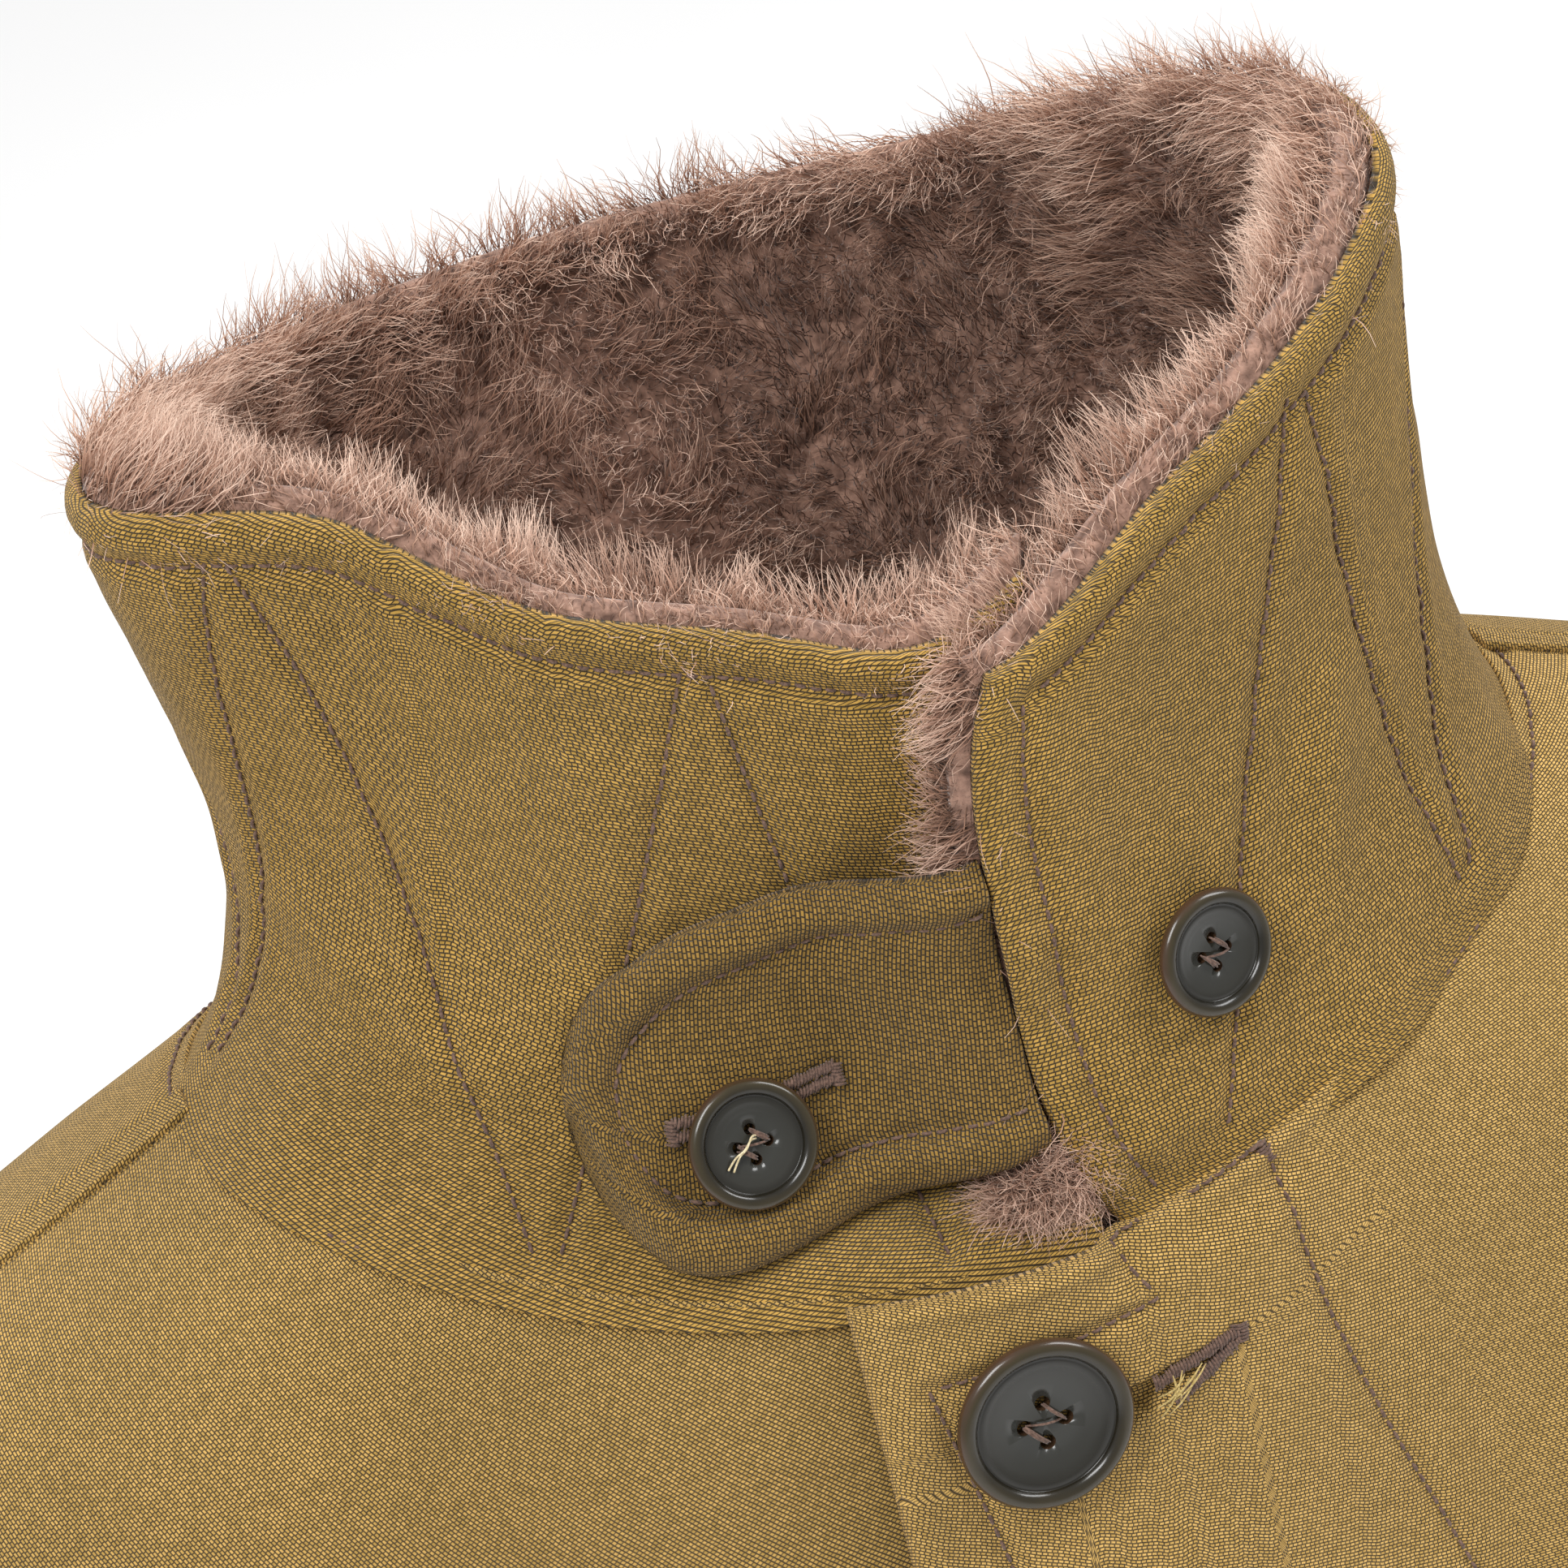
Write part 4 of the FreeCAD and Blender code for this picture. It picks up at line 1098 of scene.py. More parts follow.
def drop_armholes(piece):
    """Open the armholes: faces whose middles lie in them are removed, and the rim is fitted."""
    work = bmesh.new()
    work.from_mesh(piece.data)
    gone = []
    for face in work.faces:
        middle = np.array(face.calc_center_median()) * 1000 + LOOP_POINT
        round_way = ((middle[1] - ARMHOLE_BACK) / ARMHOLE_DEEP) ** 2
        round_way += ((middle[2] - ARMHOLE_HEIGHT) / ARMHOLE_TALL) ** 2
        if round_way < 1 and abs(middle[0]) > 180:
            gone.append(face)
    bmesh.ops.delete(work, geom=gone, context="FACES")
    for vertex in work.verts:
        if not any(edge.is_boundary for edge in vertex.link_edges):
            continue
        point = np.array(vertex.co) * 1000 + LOOP_POINT
        if abs(point[0]) < 180:
            continue
        away = np.array([(point[1] - ARMHOLE_BACK) / ARMHOLE_DEEP, (point[2] - ARMHOLE_HEIGHT) / ARMHOLE_TALL])
        reach = np.linalg.norm(away)
        if reach > 1.12:
            continue
        point[1] = ARMHOLE_BACK + away[0] / reach * ARMHOLE_DEEP
        point[2] = ARMHOLE_HEIGHT + away[1] / reach * ARMHOLE_TALL
        vertex.co = Vector(metres(point))
    work.to_mesh(piece.data)
    work.free()


def make_panel(name, node, material, columns, *grid, **edges):
    degrees, step = panel_grid(*grid, columns, **edges)
    share = np.linspace(0, 1, len(degrees))[:, None]
    to_hem = (HEM - step) * 70
    roll = -edge_round(to_hem, 1.5) + 0.5 * bump(to_hem - 4, 3)
    if edges:
        to_edge = (share if "first_x" in edges else 1 - share) * columns * 2.0
        roll = roll - edge_round(to_edge + 0 * step, 1.5)
    outer = body_piece.place(degrees, step, roll)
    inner = outer - normals(body, degrees, step, -1) * (SHELL - 0.1)
    piece = two_faced(name, outer, inner, [material])
    drop_armholes(piece)
    belongs(piece, COAT, "cord_cloth", node)


make_panel("front_right_cloth", "front_panel_right", chest_weave, 130, -SHOULDER, None,
           last_x=ZIP_X - CLOTH_EDGE)
make_panel("front_left_cloth", "front_panel_left", lit_left_weave, 130, None, SHOULDER,
           first_x=ZIP_X + CLOTH_EDGE)
make_panel("back_cloth", "back_panel", chest_weave, 220, 90.2, 269.8)
belongs(stitched("body_stitching", body_piece), COAT, "thread")


def plain_sheet(name, node, surface, lifts, counts, material, slot_name, lumps=0.0):
    """A piece of lining between two lifts of a surface whose corners are (0, 0) and (1, 1)."""
    share, down = np.meshgrid(np.linspace(0.002, 0.998, counts[0]),
                              np.linspace(0.002, 0.998, counts[1]), indexing="ij")
    points = surface(share, down)
    facing = normals(surface, share, down, -1)
    outer = points + facing * lifts[0]
    inner = points + facing * lifts[1]
    if lumps:
        inner = inner - facing * (lumps * fur_lumps(inner))[..., None]
    piece = two_faced(name, outer, inner, [material])
    return belongs(piece, COAT, slot_name, node)


def lining(first_x, first_degrees, last_x, last_degrees, top, bottom):
    def surface(across, along):
        step = top + (bottom - top) * along
        first = first_degrees if first_x is None else degrees_at(first_x, step)
        last = last_degrees if last_x is None else degrees_at(last_x, step)
        return body(first + (last - first) * across, step)
    return surface


PILE_OUT = -SHELL - PILE_GAP
FRONT_PILE_OUT = PILE_OUT - BAG_ROOM
LINING_BOTTOM = HEM - 0.7
linings = {
    "front_pile_right": ("front_lining_right", (None, -89, ZIP_X - 17, None), FRONT_PILE_OUT, 90),
    "front_pile_left": ("front_lining_left", (ZIP_X + 17, None, None, 89), FRONT_PILE_OUT, 90),
    "back_pile": ("back_lining", (None, 92, None, 268), PILE_OUT, 170),
}
for lining_name, (lining_node, edges, out, columns) in linings.items():
    lining_piece = plain_sheet(lining_name, lining_node, lining(*edges, 0.1, LINING_BOTTOM),
                               (out, out - PILE + 1.2), (columns, 140), pile_base_material, "pile", 0.9)
    drop_armholes(lining_piece)


def hem_surface(across, along):
    step = HEM - 0.62 + 0.62 * along
    first = degrees_at(ZIP_X + 17, step)
    last = degrees_at(ZIP_X - 17, step) + 360
    return body(first + (last - first) * across, step)


plain_sheet("hem_facing_cloth", "hem_facing", hem_surface, (PILE_OUT, PILE_OUT - 1.4), (240, 8),
            chest_weave, "cord_cloth")


# Sewing by hand: satin stitches, bar tacks and loose yarns laid on a cloth

def bars(cloth, starts, ends, radius, arch, sink=-0.15):
    """Arched threads between pairs of places on a cloth: points and faces."""
    share = np.linspace(0, 1, STATIONS)[None, :, None]
    places = starts[:, None] * (1 - share) + ends[:, None] * share
    first, second = places[..., 0], places[..., 1]
    points = cloth.surface(first, second)
    facing = normals(cloth.surface, first, second, cloth.flip)
    lift = cloth.relief(points) + sink + arch * np.sin(math.pi * share[..., 0])
    return tubes(points + facing * lift[..., None], facing, radius * STITCH_SWELL)


def satin(cloth, start, end, width, to_places, slant=0.25, pitch=0.52):
    """A rope of short threads across a straight line, in flat millimetres on the cloth."""
    start, end = np.asarray(start, dtype=float), np.asarray(end, dtype=float)
    line = end - start
    length = np.linalg.norm(line)
    line = line / length
    over = np.array([-line[1], line[0]])
    count = int(length / pitch)
    random = np.random.default_rng(count)
    foot = start + line * (np.arange(count) * pitch)[:, None]
    uneven = random.normal(0, 0.08, (2, count, 1)) * width
    low = foot - over * (width / 2 + uneven[0]) - line * slant
    high = foot + over * (width / 2 + uneven[1]) + line * slant
    return bars(cloth, to_places(low), to_places(high), 0.27, 0.75)


# Collar tab

TAB_THICK = 3.0
TAB_LENGTH = 66.0
TAB_BORDER = 8.2                     # stitching in from the tab's edge
TAB_BUTTON = (0.685, 0.61)


def tab_half(along, inset):
    """Half the tab's width, as a share of the collar's height, some millimetres inside its edge."""
    past = np.clip((along - 0.62) / (0.385 - inset / TAB_LENGTH), 0, 0.9999)
    return (0.26 - 0.03 * along - inset / COLLAR_HEIGHT) * np.sqrt(1 - past ** 2)


def tab_border(inset):
    """Places along the tab, inside its edge: out along the top, round the tip and back."""
    straight = np.linspace(0.015, 0.58, 9)
    turn = np.linspace(0.08, math.pi / 2, 9)
    tip = 0.62 + (0.383 - inset / TAB_LENGTH) * np.sin(turn)
    along = np.concatenate([straight, tip])
    side = 0.5 * tab_half(along, inset) / tab_half(along, 0)
    return ([(0.5 - reach, place) for reach, place in zip(side, along)]
            + [(0.5 + reach, place) for reach, place in zip(side[-2::-1], along[-2::-1])])


def on_tab(flat):
    """Places on the tab for flat millimetres from its button: towards its root, and up."""
    along = TAB_BUTTON[1] - flat[..., 0] / TAB_LENGTH
    width = 2 * COLLAR_HEIGHT * tab_half(along, 0)
    return np.stack([TAB_BUTTON[0] - flat[..., 1] / width, along], axis=-1)


def tab_folds(points):
    return noise(points, (16, 16, 11), 51) * 0.75 + TAB_THICK


HOLE_RISE = 4.6                      # the tab's buttonhole lies this far above its button


def make_tab():
    cloth = Cloth(tab, tab_folds, depth=1.0, width=1.2)
    cloth.seam(tab_border(TAB_BORDER))
    cloth.settle()
    border = KDTree(2 * 200)
    for number, along in enumerate(np.repeat(np.linspace(0.0, 0.9995, 200), 2)):
        border.insert(tab(float(number % 2), along), number)
    border.balance()
    shares = np.sin(np.linspace(-math.pi / 2, math.pi / 2, 71)) / 2 + 0.5
    lengths = np.concatenate([np.linspace(0, 0.86, 74), 0.86 + 0.1385 * np.sin(
        np.linspace(0, math.pi / 2, 22)[1:])])
    across, along = np.meshgrid(shares, lengths, indexing="ij")
    plain = tab(across, along)
    edge = np.array([border.find(point)[2] for point in plain.reshape(-1, 3)]).reshape(across.shape)
    rim = -edge_round(edge, 2.4) * (TAB_THICK - 0.3) / 2.4 + 1.5 * bump(edge - 4.2, 3.0)
    rim = rim - 0.9 * smooth((edge - TAB_BORDER + 0.5) / 3)
    slot_flat = np.stack([(TAB_BUTTON[1] - along) * TAB_LENGTH,
                          (TAB_BUTTON[0] - across) * 2 * COLLAR_HEIGHT * tab_half(along, 0)], axis=-1)
    slot_near = np.hypot(np.maximum(np.abs(slot_flat[..., 0] - 2.5) - 12, 0), slot_flat[..., 1] - HOLE_RISE)
    rim = rim - 1.3 * bump(slot_near, 1.0)
    sewn_down = -1.3 * smooth((0.08 - along) / 0.08)
    outer = cloth.place(across, along, rim + sewn_down)
    inner = plain + normals(tab, across, along, cloth.flip) * 0.1
    pieces = [two_faced("collar_tab_cloth", outer, inner, [shaded_tab_weave])]
    pieces.append(stitched("collar_tab_stitching", cloth))
    left, right = -10.5, 15.5
    parts = [satin(cloth, (left, HOLE_RISE + 0.95), (right, HOLE_RISE + 0.95), 1.7, on_tab),
             satin(cloth, (right, HOLE_RISE - 0.95), (left, HOLE_RISE - 0.95), 1.7, on_tab),
             satin(cloth, (right, HOLE_RISE - 1.9), (right, HOLE_RISE + 1.9), 2.2, on_tab),
             satin(cloth, (left, HOLE_RISE - 1.9), (left, HOLE_RISE + 1.9), 2.0, on_tab)]
    points, quads = join_parts(parts)
    pieces.append(quad_mesh("collar_tab_buttonhole", points, quads, [thread_material]))
    for piece, slot_name in zip(pieces, ("cord_cloth", "thread", "thread")):
        tuple(metres(tab(0.5, 0.0)))
        tuple(metres(tab(0.5, 0.09)))
        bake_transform(piece)
    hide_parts("collar_tab", "collar_tab_root")


make_tab()


# Storm flap

FLAP_FREE = -34.0
FLAP_FOLD = 26.0
FLAP_SEAM = 50.0
FLAP_RISE = 5.8                      # outer face above the front
FLAP_UNDER = 3.2
FLAP_TOP = 0.02
FLAP_FOOT = HEM - 0.10
FRONT_BUTTON = (-10.5, -22.5)
BUTTON_PITCH = 115.0
FRONT_BUTTONS = 5
HOLE_APEX = (22.0, -21.8)


def on_front(flat):
    """Places on the front for its own x and height."""
    return np.stack([flat[..., 0], step_at(flat[..., 0], flat[..., 1])], axis=-1)


def seam_side(height):
    """Distance from the middle of the stitching that holds the flap, at each height."""
    return 36.0 + 22.0 * smooth((-height - 2) / 110)


FLAP_CREASES = [
    ((-20, -86, -46), (30, -88, -62), 7, 1.3),
    ((-6, -84, -44), (26, -86, -50), 5, -0.9),
    ((24, -76, -6), (52, -84, -40), 8, 0.9),
]


def flap_rise(points):
    """The flap's face: flat, then falling to the front past the fold, with soft waves."""
    fall = smooth((points[:, 0] - FLAP_FOLD + 4) / (FLAP_SEAM - FLAP_FOLD + 6))
    face = FLAP_RISE * (1 - fall) + 0.35 * fall
    sewn_top = smooth((points[:, 0] - 1) / 9) * smooth((points[:, 2] + 10) / 9)
    face = face * (1 - 0.7 * sewn_top)
    wave = noise(points, (26, 26, 40), 61) * 1.0 + noise(points, (11, 11, 18), 62) * 0.25
    for start, end, width, height in FLAP_CREASES:
        wave = wave + crease(points, start, end, width, height)
    return face + wave * (0.35 + 0.65 * smooth((points[:, 0] - FLAP_FREE) / 18))


def flap_frame(number):
    """Flat middle of one front button."""
    return np.array([FRONT_BUTTON[0], FRONT_BUTTON[1] - number * BUTTON_PITCH])


def ride_flap(piece):
    start = metres(front(FLAP_SEAM, 5.0))
    end = metres(front(FLAP_FOLD, 5.0))
    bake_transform(piece)


def flat_seam(cloth, corners):
    """Sew along a smooth line through points given as x and height on the front."""
    cloth.seam([tuple(place) for place in on_front(np.array(corners, dtype=float))])


def make_flap():
    cloth = Cloth(front, flap_rise, depth=0.7, width=1.3)
    flat_seam(cloth, [(35, 3.0), (24, 2.0), (12, 0.6), (7, -0.6)])
    flat_seam(cloth, [(7, -0.6), (9, -6), (11.5, -10.8)])
    flat_seam(cloth, [(11.5, -10.8), (0, -12.2), (-12, -12.9), (-25.5, -13.2)])
    free_side = [(-25.5, -13.2), (-22, -32), (-19, -50)]
    flat_seam(cloth, free_side)
    flat_seam(cloth, [(-19, -50)] + [(-22, height) for height in range(-90, -600, -60)])
    flat_seam(cloth, [(seam_side(height), height) for height in range(-1, -600, -22)])
    cloth.settle()
    width = FLAP_SEAM + 14 - FLAP_FREE
    shares = edge_spaced(84, width, 0.9)
    steps = np.unique(np.concatenate([FLAP_TOP + np.array([0, 0.008, 0.02, 0.04]),
                                      np.linspace(FLAP_TOP + 0.06, 2.6, 110),
                                      np.linspace(2.6, FLAP_FOOT, 150)]))
    share, step = np.meshgrid(shares, steps, indexing="ij")
    side_x = FLAP_FREE + width * share
    plain = front(side_x, step)
    to_edge = np.minimum(np.minimum(side_x - FLAP_FREE, (FLAP_FOOT - step) * 70), (step - FLAP_TOP) * 34)
    rim = -edge_round(to_edge, 2.4) + 0.6 * bump(to_edge - 3.8, 2.5)
    fade = smooth((side_x - FLAP_SEAM) / 14)
    rim = rim - 1.6 * fade
    for number in range(FRONT_BUTTONS):
        middle = flap_frame(number)
        apex = middle + np.array(HOLE_APEX) - np.array(FRONT_BUTTON)
        reach = np.clip(apex[0] - plain[..., 0], 0, 30)
        level = apex[1] - 0.23 * reach
        wide = 0.35 + 0.10 * reach
        inside = smooth((wide + 0.5 - np.abs(plain[..., 2] - level)) / 0.9) * (reach > 0.2) * (reach < 29)
        rim = rim - 2.4 * inside
    outer = cloth.place(side_x, step, rim)
    facing = normals(front, side_x, step, -1)
    under = np.where(side_x < FLAP_FOLD, FLAP_UNDER, FLAP_UNDER - (FLAP_UNDER + 1.2) * smooth(
        (side_x - FLAP_FOLD) / 24))
    depth = np.einsum("ijk,ijk->ij", outer - plain, facing)
    inner = plain + facing * np.minimum(under, depth - 0.4)[..., None]
    piece = two_faced("storm_flap_cloth", outer, inner, [lit_left_weave])
    ride_flap(piece)
    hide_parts("storm_flap", "storm_flap_root")
    ride_flap(stitched("storm_flap_stitching", cloth))
    holes, yarns = [], []
    for number in range(FRONT_BUTTONS):
        apex = flap_frame(number) + np.array(HOLE_APEX) - np.array(FRONT_BUTTON)
        for turn, length, gap in ((0.02, 15.5, 0.6), (-0.25, 14.0, -0.6)):
            arm = np.array([-math.cos(0.23 - turn), -math.sin(0.23 - turn)])
            lift = np.array([0, gap])
            holes.append(satin(cloth, apex + lift, apex + arm * length + lift, 2.1, on_front))
        holes.append(satin(cloth, apex + (0.6, 1.6), apex + (0.6, -1.8), 2.6, on_front))
        random = np.random.default_rng(100 + number)
        starts = apex + np.stack([-random.uniform(11.5, 15.5, 9), -random.uniform(2.6, 7.0, 9)], axis=-1)
        ends = apex + np.stack([-random.uniform(4.0, 12.0, 9), -random.uniform(0.6, 2.6, 9)], axis=-1)
        yarns.append(bars(cloth, on_front(starts), on_front(ends), 0.17, 1.2, 2.2))
    tack = np.array([(34.2, 3.4), (35.6, 1.0)])
    holes.append(satin(cloth, tack[0], tack[1] + (0.8, -2.2), 2.2, on_front))
    holes.append(satin(cloth, tack[0] + (-1.0, 1.2), tack[0] + (0.8, -0.8), 1.4, on_front))
    points, quads = join_parts(holes)
    ride_flap(quad_mesh("storm_flap_buttonholes", points, quads, [thread_material]))
    points, quads = join_parts(yarns)
    ride_flap(quad_mesh("storm_flap_loose_yarns", points, quads, [yellow_thread]))


make_flap()


# Buttons: turned discs with a rolled rim, a dished face and four drilled holes

def button_profile(radius, thick):
    """Half section, from the middle of the back round the rim to the middle of the face."""
    tube = 0.36 * thick
    middle, height = radius - tube, 0.64 * thick
    turn = np.radians(np.linspace(-80, 172, 22))
    rim = [(middle + tube * math.cos(angle), height + tube * math.sin(angle)) for angle in turn]
    face = 0.60 * thick
    slope = [(middle - tube * 1.25, height + 0.10 * thick), (middle - tube * 1.9, face + 0.06 * thick),
             (middle - tube * 2.5, face), (radius * 0.50, face - 0.02 * thick),
             (radius * 0.47, face - 0.05 * thick), (radius * 0.20, face - 0.06 * thick), (0.05, face - 0.06 * thick)]
    return np.array([(0.05, 0.0), (radius * 0.5, 0.0), (radius * 0.8, 0.02)] + rim + slope)


BUTTON_SIDES = 96


def button_blank(radius, thick):
    profile = button_profile(radius, thick)
    turns = 2 * math.pi * np.arange(BUTTON_SIDES) / BUTTON_SIDES
    points = np.stack([profile[:, 0] * np.cos(turns)[:, None], profile[:, 0] * np.sin(turns)[:, None],
                       profile[:, 1] + 0 * turns[:, None]], axis=-1)
    uv = points[..., :2].reshape(-1, 2) / (2 * radius) + 0.5
    quads = grid_quads(BUTTON_SIDES, len(profile), True)
    return quad_mesh("blank", points.reshape(-1, 3) + LOOP_POINT, quads, [dark_button_material], uv, "OFBake")


def cylinder_object(radius, length, place):
    work = bmesh.new()
    bmesh.ops.create_cone(work, cap_ends=True, segments=24, radius1=radius, radius2=radius, depth=length,
                          matrix=Matrix.Translation(place))
    mesh = bpy.data.meshes.new("drill")
    work.to_mesh(mesh)
    work.free()
    drill = bpy.data.objects.new("drill", mesh)
    bpy.context.scene.collection.objects.link(drill)
    return drill


def button_mesh(radius, thick):
    """A drilled button, its back on the XY plane, in metres."""
    blank = button_blank(radius, thick)
    work = bmesh.new()
    work.from_mesh(blank.data)
    bmesh.ops.holes_fill(work, edges=[edge for edge in work.edges if edge.is_boundary], sides=0)
    bmesh.ops.recalc_face_normals(work, faces=work.faces)
    work.to_mesh(blank.data)
    work.free()
    drills = []
    for turn in hole_turns():
        place = Vector((math.cos(turn), math.sin(turn), 0)) * radius * HOLE_REACH / 1000
        drills.append(cylinder_object(radius * 0.088 / 1000, 0.02, place))
        cut = blank.modifiers.new("drill", "BOOLEAN")
        cut.object = drills[-1]
        cut.solver = "EXACT"
    bpy.context.view_layer.update()
    mesh = bpy.data.meshes.new_from_object(blank.evaluated_get(bpy.context.evaluated_depsgraph_get()))
    for item in [blank] + drills:
        bpy.data.objects.remove(item)
    return mesh


HOLE_REACH = 0.235


def hole_turns():
    return [math.radians(86 + 90 * quarter) for quarter in range(4)]


def local_frame(surface, first, second, centre):
    """A placement whose +Z leaves the surface, with +X level, at a point in metres."""
    out = Vector(normals(surface, np.array(first), np.array(second), FLIPS[surface]))
    level = Vector((0, 0, 1)).cross(out).normalized()
    matrix = Matrix((level, out.cross(level), out)).transposed().to_4x4()
    matrix.translation = centre
    return matrix


def sew_button(name, mesh, surface, place, thick, radius, loose_end=False):
    """One button where its CAD node is, with the thread that crosses its holes."""
    low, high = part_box(name)
    middle = (Vector(low) + Vector(high)) / 2
    matrix = local_frame(surface, *place, middle)
    matrix.translation = middle - matrix.to_3x3() @ Vector((0, 0, thick * 0.5 / 1000))
    copy = mesh.copy()
    copy.transform(matrix)
    piece = bpy.data.objects.new(name + "_turned", copy)
    bpy.context.scene.collection.objects.link(piece)
    belongs(piece, COAT, "button", name)
    random = np.random.default_rng(round(radius * 10) + len(name))
    corners = [np.array([math.cos(turn), math.sin(turn)]) * radius * HOLE_REACH for turn in hole_turns()]
    paths = []
    shares = np.linspace(0, 1, STATIONS)
    for first, last in ((0, 3), (1, 2), (1, 3)):
        for _ in range(4 if (first, last) != (1, 3) else 1):
            start = corners[first] + random.normal(0, 0.25, 2)
            end = corners[last] + random.normal(0, 0.25, 2)
            flat = start + (end - start) * shares[:, None]
            rise = thick * 0.50 + 0.85 * np.sin(math.pi * shares) + random.uniform(0, 0.2)
            paths.append(np.concatenate([flat, rise[:, None]], axis=1))
    points, quads = tubes(np.array(paths), np.array([0.0, 0.0, 1.0]), 0.21 * STITCH_SWELL)
    sewn = place_local(name + "_thread", points, quads, matrix, thread_material)
    belongs(sewn, COAT, "thread")
    if loose_end:
        line = between(LOOSE_END, np.linspace(0, len(LOOSE_END) - 1, 24))
        ends = [line, line * (0.9, 1.3, 1) + (0.2, 0.2, 0.1)]
        points, quads = tubes(np.array(ends), np.array([0.0, 0.0, 1.0]), np.full(24, 0.16))
        belongs(place_local(name + "_loose_end", points, quads, matrix, pale_thread), COAT, "thread")


LOOSE_END = [(0.6, 0.8, 2.4), (-0.4, 0.9, 3.2), (-1.8, -0.2, 3.4), (-3.2, -0.9, 2.9), (-4.4, -2.0, 2.5),
             (-4.9, -2.4, 2.7)]


def place_local(name, points, quads, matrix, material):
    """A piece whose points are millimetres in a button's own frame."""
    piece = quad_mesh(name, points + LOOP_POINT, quads, [material])
    piece.data.transform(matrix)
    return piece


def make_buttons():
    front_radius, front_thick = 14.0, 4.2
    collar_radius, collar_thick = 10.0, 3.6
    front_mesh = button_mesh(front_radius, front_thick)
    collar_mesh = button_mesh(collar_radius, collar_thick)
    for number in range(FRONT_BUTTONS):
        place = on_front(flap_frame(number))
        sew_button(f"front_button_{number + 1}", front_mesh, front, place, front_thick, front_radius)
    sew_button("tab_button", collar_mesh, tab, TAB_BUTTON, collar_thick, collar_radius, True)
    sew_button("spare_button", collar_mesh, collar, (-341, 0.32), collar_thick, collar_radius)


make_buttons()


# Sleeves

def sleeve_folds(points):
    """Long soft folds down the arm, and tighter ones in the crook of the elbow."""
    crook = bump(points[:, 2] + 330, 70) * smooth((40 - points[:, 1]) / 60)
    wave = noise(points, (46, 46, 60), 71) * 3.2 + noise(points, (30, 30, 14), 72) * 3.6 * crook
    head = noise(points, (20, 30, 60), 73) * 1.6 * bump(points[:, 2] + 90, 70)
    return wave + head


def make_sleeves():
    cloth = Cloth(sleeve, sleeve_folds, depth=0.6, width=1.6)
    around = [(degrees, CUFF_END - 0.30) for degrees in np.linspace(-180, 180, 40)]
    cloth.seam(around)
    cloth.seam([(180 + 4 * math.sin(ring), ring) for ring in np.linspace(0.3, CUFF_END - 0.05, 20)])
    cloth.seam([(degrees, 0.16) for degrees in np.linspace(-180, 180, 40)])
    cloth.settle()
    turns = np.linspace(0, 360, 150, endpoint=False)
    rings = np.unique(np.concatenate([np.linspace(0, 4, 70), np.linspace(4, CUFF_END - 0.06, 110),
                                      [CUFF_END - 0.03, CUFF_END - 0.012, CUFF_END]]))
    degrees, ring = np.meshgrid(turns, rings, indexing="ij")
    roll = -edge_round((CUFF_END - ring) * 50, 1.4)
    outer = cloth.place(degrees, ring, roll)
    facing = normals(sleeve, degrees, ring, cloth.flip)
    inner = outer - facing * (SHELL - 0.1)
    lining_rings = np.linspace(0.3, CUFF_END - 0.75, 80)
    lining_turns, lining_ring = np.meshgrid(turns[::2], lining_rings, indexing="ij")
    lining_outer = cloth.place(lining_turns, lining_ring, -2.1)
    lining_facing = normals(sleeve, lining_turns, lining_ring, cloth.flip)
    lining_inner = lining_outer - lining_facing * (5.6 + 0.8 * fur_lumps(lining_outer))[..., None]
    knit_turns, knit_ring = np.meshgrid(np.linspace(0, 360, 432, endpoint=False),
                                        np.linspace(CUFF_END - 0.68, CUFF_END - 0.02, 22), indexing="ij")
    ribs = 0.55 * np.cos(np.radians(knit_turns * 72)) - 3.4
    knit_facing = normals(sleeve, knit_turns, knit_ring, cloth.flip)
    knit_outer = sleeve(knit_turns, knit_ring) + knit_facing * ribs[..., None]
    knit_inner = sleeve(knit_turns, knit_ring) - knit_facing * 5.4
    seams = stitched("sleeve_seams", cloth).data
    for side, name in ((1, "left"), (-1, "right")):
        turned = np.array([side, 1, 1])
        start = tuple(metres(np.array([208.0, 8.0, -119.0]) * turned))
        end = tuple(metres(np.array([258.0, 8.0, -119.0]) * turned))
        made = [(two_faced(f"sleeve_{name}_cloth", outer * turned, inner * turned, [chest_weave], True),
                 "cord_cloth", (f"sleeve_{name}", f"sleeve_head_{name}")),
                (two_faced(f"sleeve_{name}_pile", lining_outer * turned, lining_inner * turned,
                           [pile_base_material], True), "pile", (f"sleeve_lining_{name}",))]
        sewn = bpy.data.objects.new(f"sleeve_{name}_stitching", seams.copy())
        sewn.data.transform(Matrix.Diagonal((side, 1, 1, 1)))
        bpy.context.scene.collection.objects.link(sewn)
        made.append((sewn, "thread", ()))
        for piece, slot_name, nodes in made:
            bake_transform(piece)
            if nodes:
                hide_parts(*nodes)
        cuff = two_faced(f"knit_cuff_{name}_ribbed", knit_outer * turned, knit_inner * turned,
                         [knit_material], True)
        belongs(cuff, f"sleeve_{name}", "rib_knit", f"knit_cuff_{name}")
    bpy.data.objects.remove(bpy.data.objects["sleeve_seams"])


make_sleeves()


# Pockets and shoulder seams, made once and mirrored

def pocket_surface(front_reach, back_reach, top_step, bottom_step):
    def surface(across, along):
        step = top_step + (bottom_step - top_step) * along
        middle = 44 + 9 * (step - 7)
        return body(middle - front_reach + (front_reach + back_reach) * across, step)
    return surface


def shoulder_surface(across, along):
    return body(90.5 + 5 * across * (1 - 0.35 * along), 0.05 + 2.85 * along)


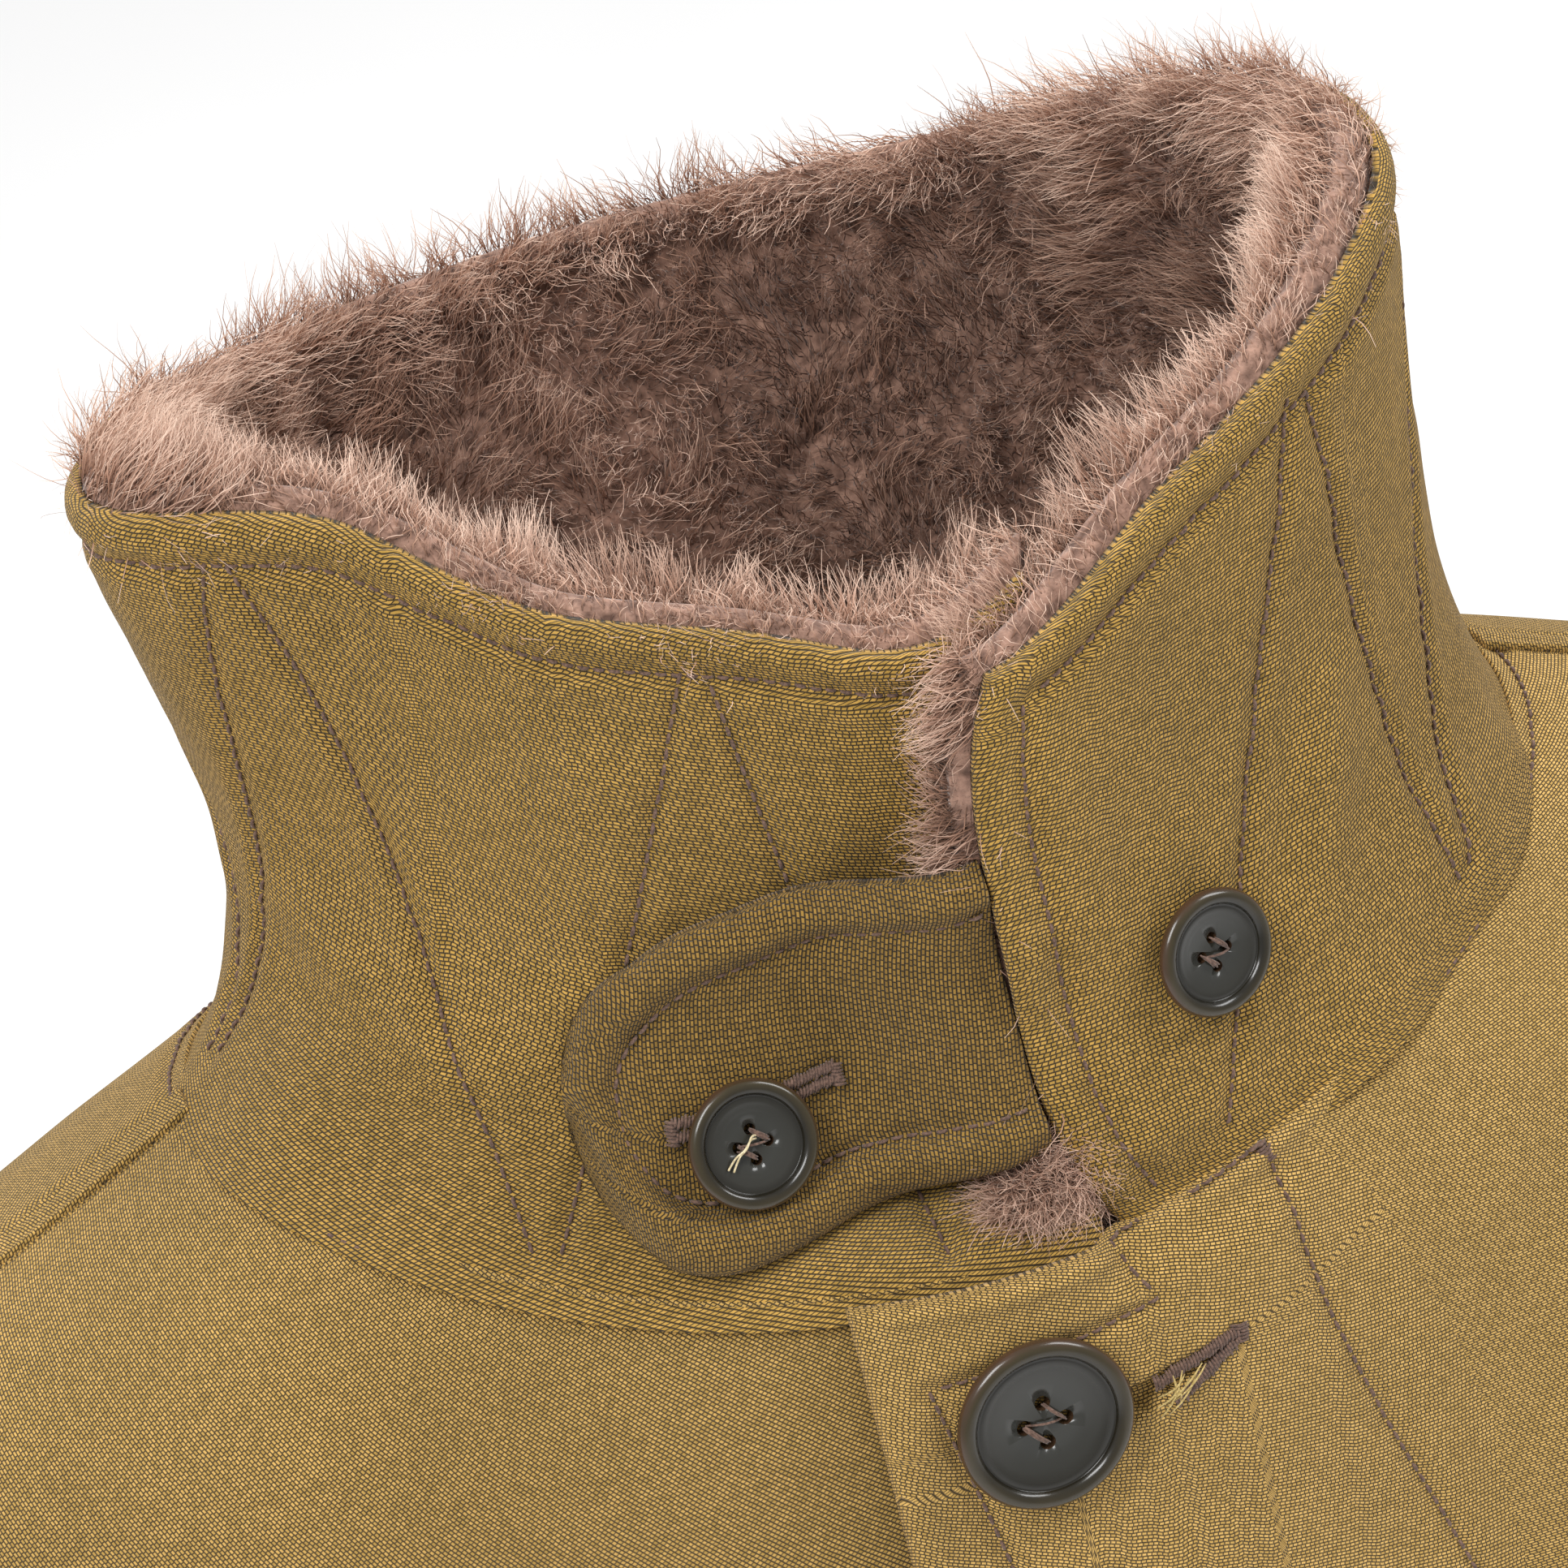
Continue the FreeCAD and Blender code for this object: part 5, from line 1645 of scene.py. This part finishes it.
def raised_strip(name, node, surface, low, high, size_mm, stitch_inset, sides, slot_name="cord_cloth"):
    """A raised, edge-stitched strip of cloth with rounded edges, and its mirror image."""
    FLIPS[surface] = -1
    width, length = size_mm
    cloth = Cloth(surface, lambda points: body_folds(points), base=high - 1.2, depth=0.5, width=1.2)
    inset = stitch_inset / width
    for across in (inset, 1 - inset):
        cloth.seam([(across, along) for along in np.linspace(0.02, 0.98, 8)])
    cloth.settle()
    shares = edge_spaced(max(int(width / 0.9), 8), width, 0.6) if width > 6 else np.linspace(0, 1, 14)
    across, along = np.meshgrid(shares, edge_spaced(int(length / 2.0), length, 0.8), indexing="ij")
    nearest = np.minimum(np.minimum(across, 1 - across) * width, np.minimum(along, 1 - along) * length)
    outer = cloth.place(across, along, 1.2 - edge_round(nearest, 1.2))
    inner = cloth.place(across, along, low - high + 1.2 - 0.6)
    seams = stitched(name + "_seams", cloth)
    for side, side_name in sides:
        turned = np.array([side, 1, 1])
        piece = two_faced(f"{name}_{side_name}_cloth", outer * turned, inner * turned, [chest_weave])
        belongs(piece, COAT, slot_name, f"{node}_{side_name}")
        sewn = bpy.data.objects.new(f"{name}_{side_name}_stitching", seams.data.copy())
        sewn.data.transform(Matrix.Diagonal((side, 1, 1, 1)))
        bpy.context.scene.collection.objects.link(sewn)
        belongs(sewn, COAT, "thread")
    bpy.data.objects.remove(seams)


SIDES = ((1, "left"), (-1, "right"))
raised_strip("pocket_welt", "pocket_welt", pocket_surface(3.5, 3.5, 7.0, 8.35), 0.3, 3.3, (28, 165), 5, SIDES)
raised_strip("shoulder_seam", "shoulder_seam", shoulder_surface, 0.2, 1.5, (8, 130), 2.2, SIDES)

bag_share, bag_along = np.meshgrid(np.linspace(0, 1, 24), np.linspace(0, 1, 30), indexing="ij")
bag_surface = pocket_surface(26, 1, 7.05, 8.9)
bag_facing = normals(bag_surface, bag_share, bag_along, -1)
bag_outer = bag_surface(bag_share, bag_along) + bag_facing * PILE_OUT
bag_inner = bag_outer - bag_facing * (1.7 + 0.2 * noise(bag_outer, 20, 81))[..., None]
for side, side_name in SIDES:
    turned = np.array([side, 1, 1])
    bag = two_faced(f"pocket_bag_{side_name}_drill", bag_outer * turned, bag_inner * turned, [drill_material])
    belongs(bag, COAT, "twill_tape", f"pocket_bag_{side_name}")


# CAD pieces that keep their shape and get their materials

NODE_MATERIALS = {
    "zip_teeth": zip_metal_material,
    "zip_tape": tape_material,
    "zip_bottom_box": zip_metal_material,
    "zip_slider": zip_metal_material,
    "zip_pull": zip_metal_material,
    "hanger_loop": tape_material,
    "front_button_shanks": thread_material,
    "tab_button_shank": thread_material,
    "spare_button_shank": thread_material,
}
for node_name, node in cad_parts.items():
    for start, material in NODE_MATERIALS.items():
        if node_name.startswith(start):
            node.data.materials.clear()
            node.data.materials.append(material)


# Light, floor and background

def area_light(name, place, target, size, power):
    data = bpy.data.lights.new(name, "AREA")
    data.shape = "RECTANGLE"
    data.size, data.size_y = size
    data.energy = power
    light = bpy.data.objects.new(name, data)
    place, target = Vector(place), Vector(target)
    light.matrix_world = Matrix.Translation(place) @ (place - target).to_track_quat("Z", "Y").to_matrix().to_4x4()
    bpy.context.scene.collection.objects.link(light)


def make_stage():
    low = cad_box[0][2] - 0.002
    bpy.ops.mesh.primitive_plane_add(size=30, location=(0, 0, low))
    floor = bpy.context.object
    floor.name = "floor"
    material, nodes, shader, link = new_material("pale_floor", 0.9, Specular_IOR_Level=0.0)
    position = nodes.new("ShaderNodeNewGeometry").outputs["Position"]
    mottle = noise_node(nodes, link, position, 3, 2)
    link(ramp_node(nodes, link, mottle, [(0.3, (0.93, 0.93, 0.93, 1)), (0.7, (0.96, 0.96, 0.96, 1))]),
         shader.inputs["Base Color"])
    floor.data.materials.append(material)
    world = bpy.data.worlds.new("studio")
    world.use_nodes = True
    world.node_tree.nodes["Background"].inputs["Color"].default_value = (1, 1, 1, 1)
    world.node_tree.nodes["Background"].inputs["Strength"].default_value = 0.50
    bpy.context.scene.world = world
    area_light("key_left", (-1.1, -0.9, 1.6), (0, -0.05, 0.03), (0.7, 1.1), 34)
    area_light("fill_right", (1.4, -0.6, 1.4), (0, -0.05, 0.0), (0.6, 1.1), 22)
    area_light("top_back", (0.2, 1.1, 1.8), (0, 0, 0.05), (1.4, 0.8), 26)
    bpy.context.scene.view_settings.view_transform = "Standard"


make_stage()
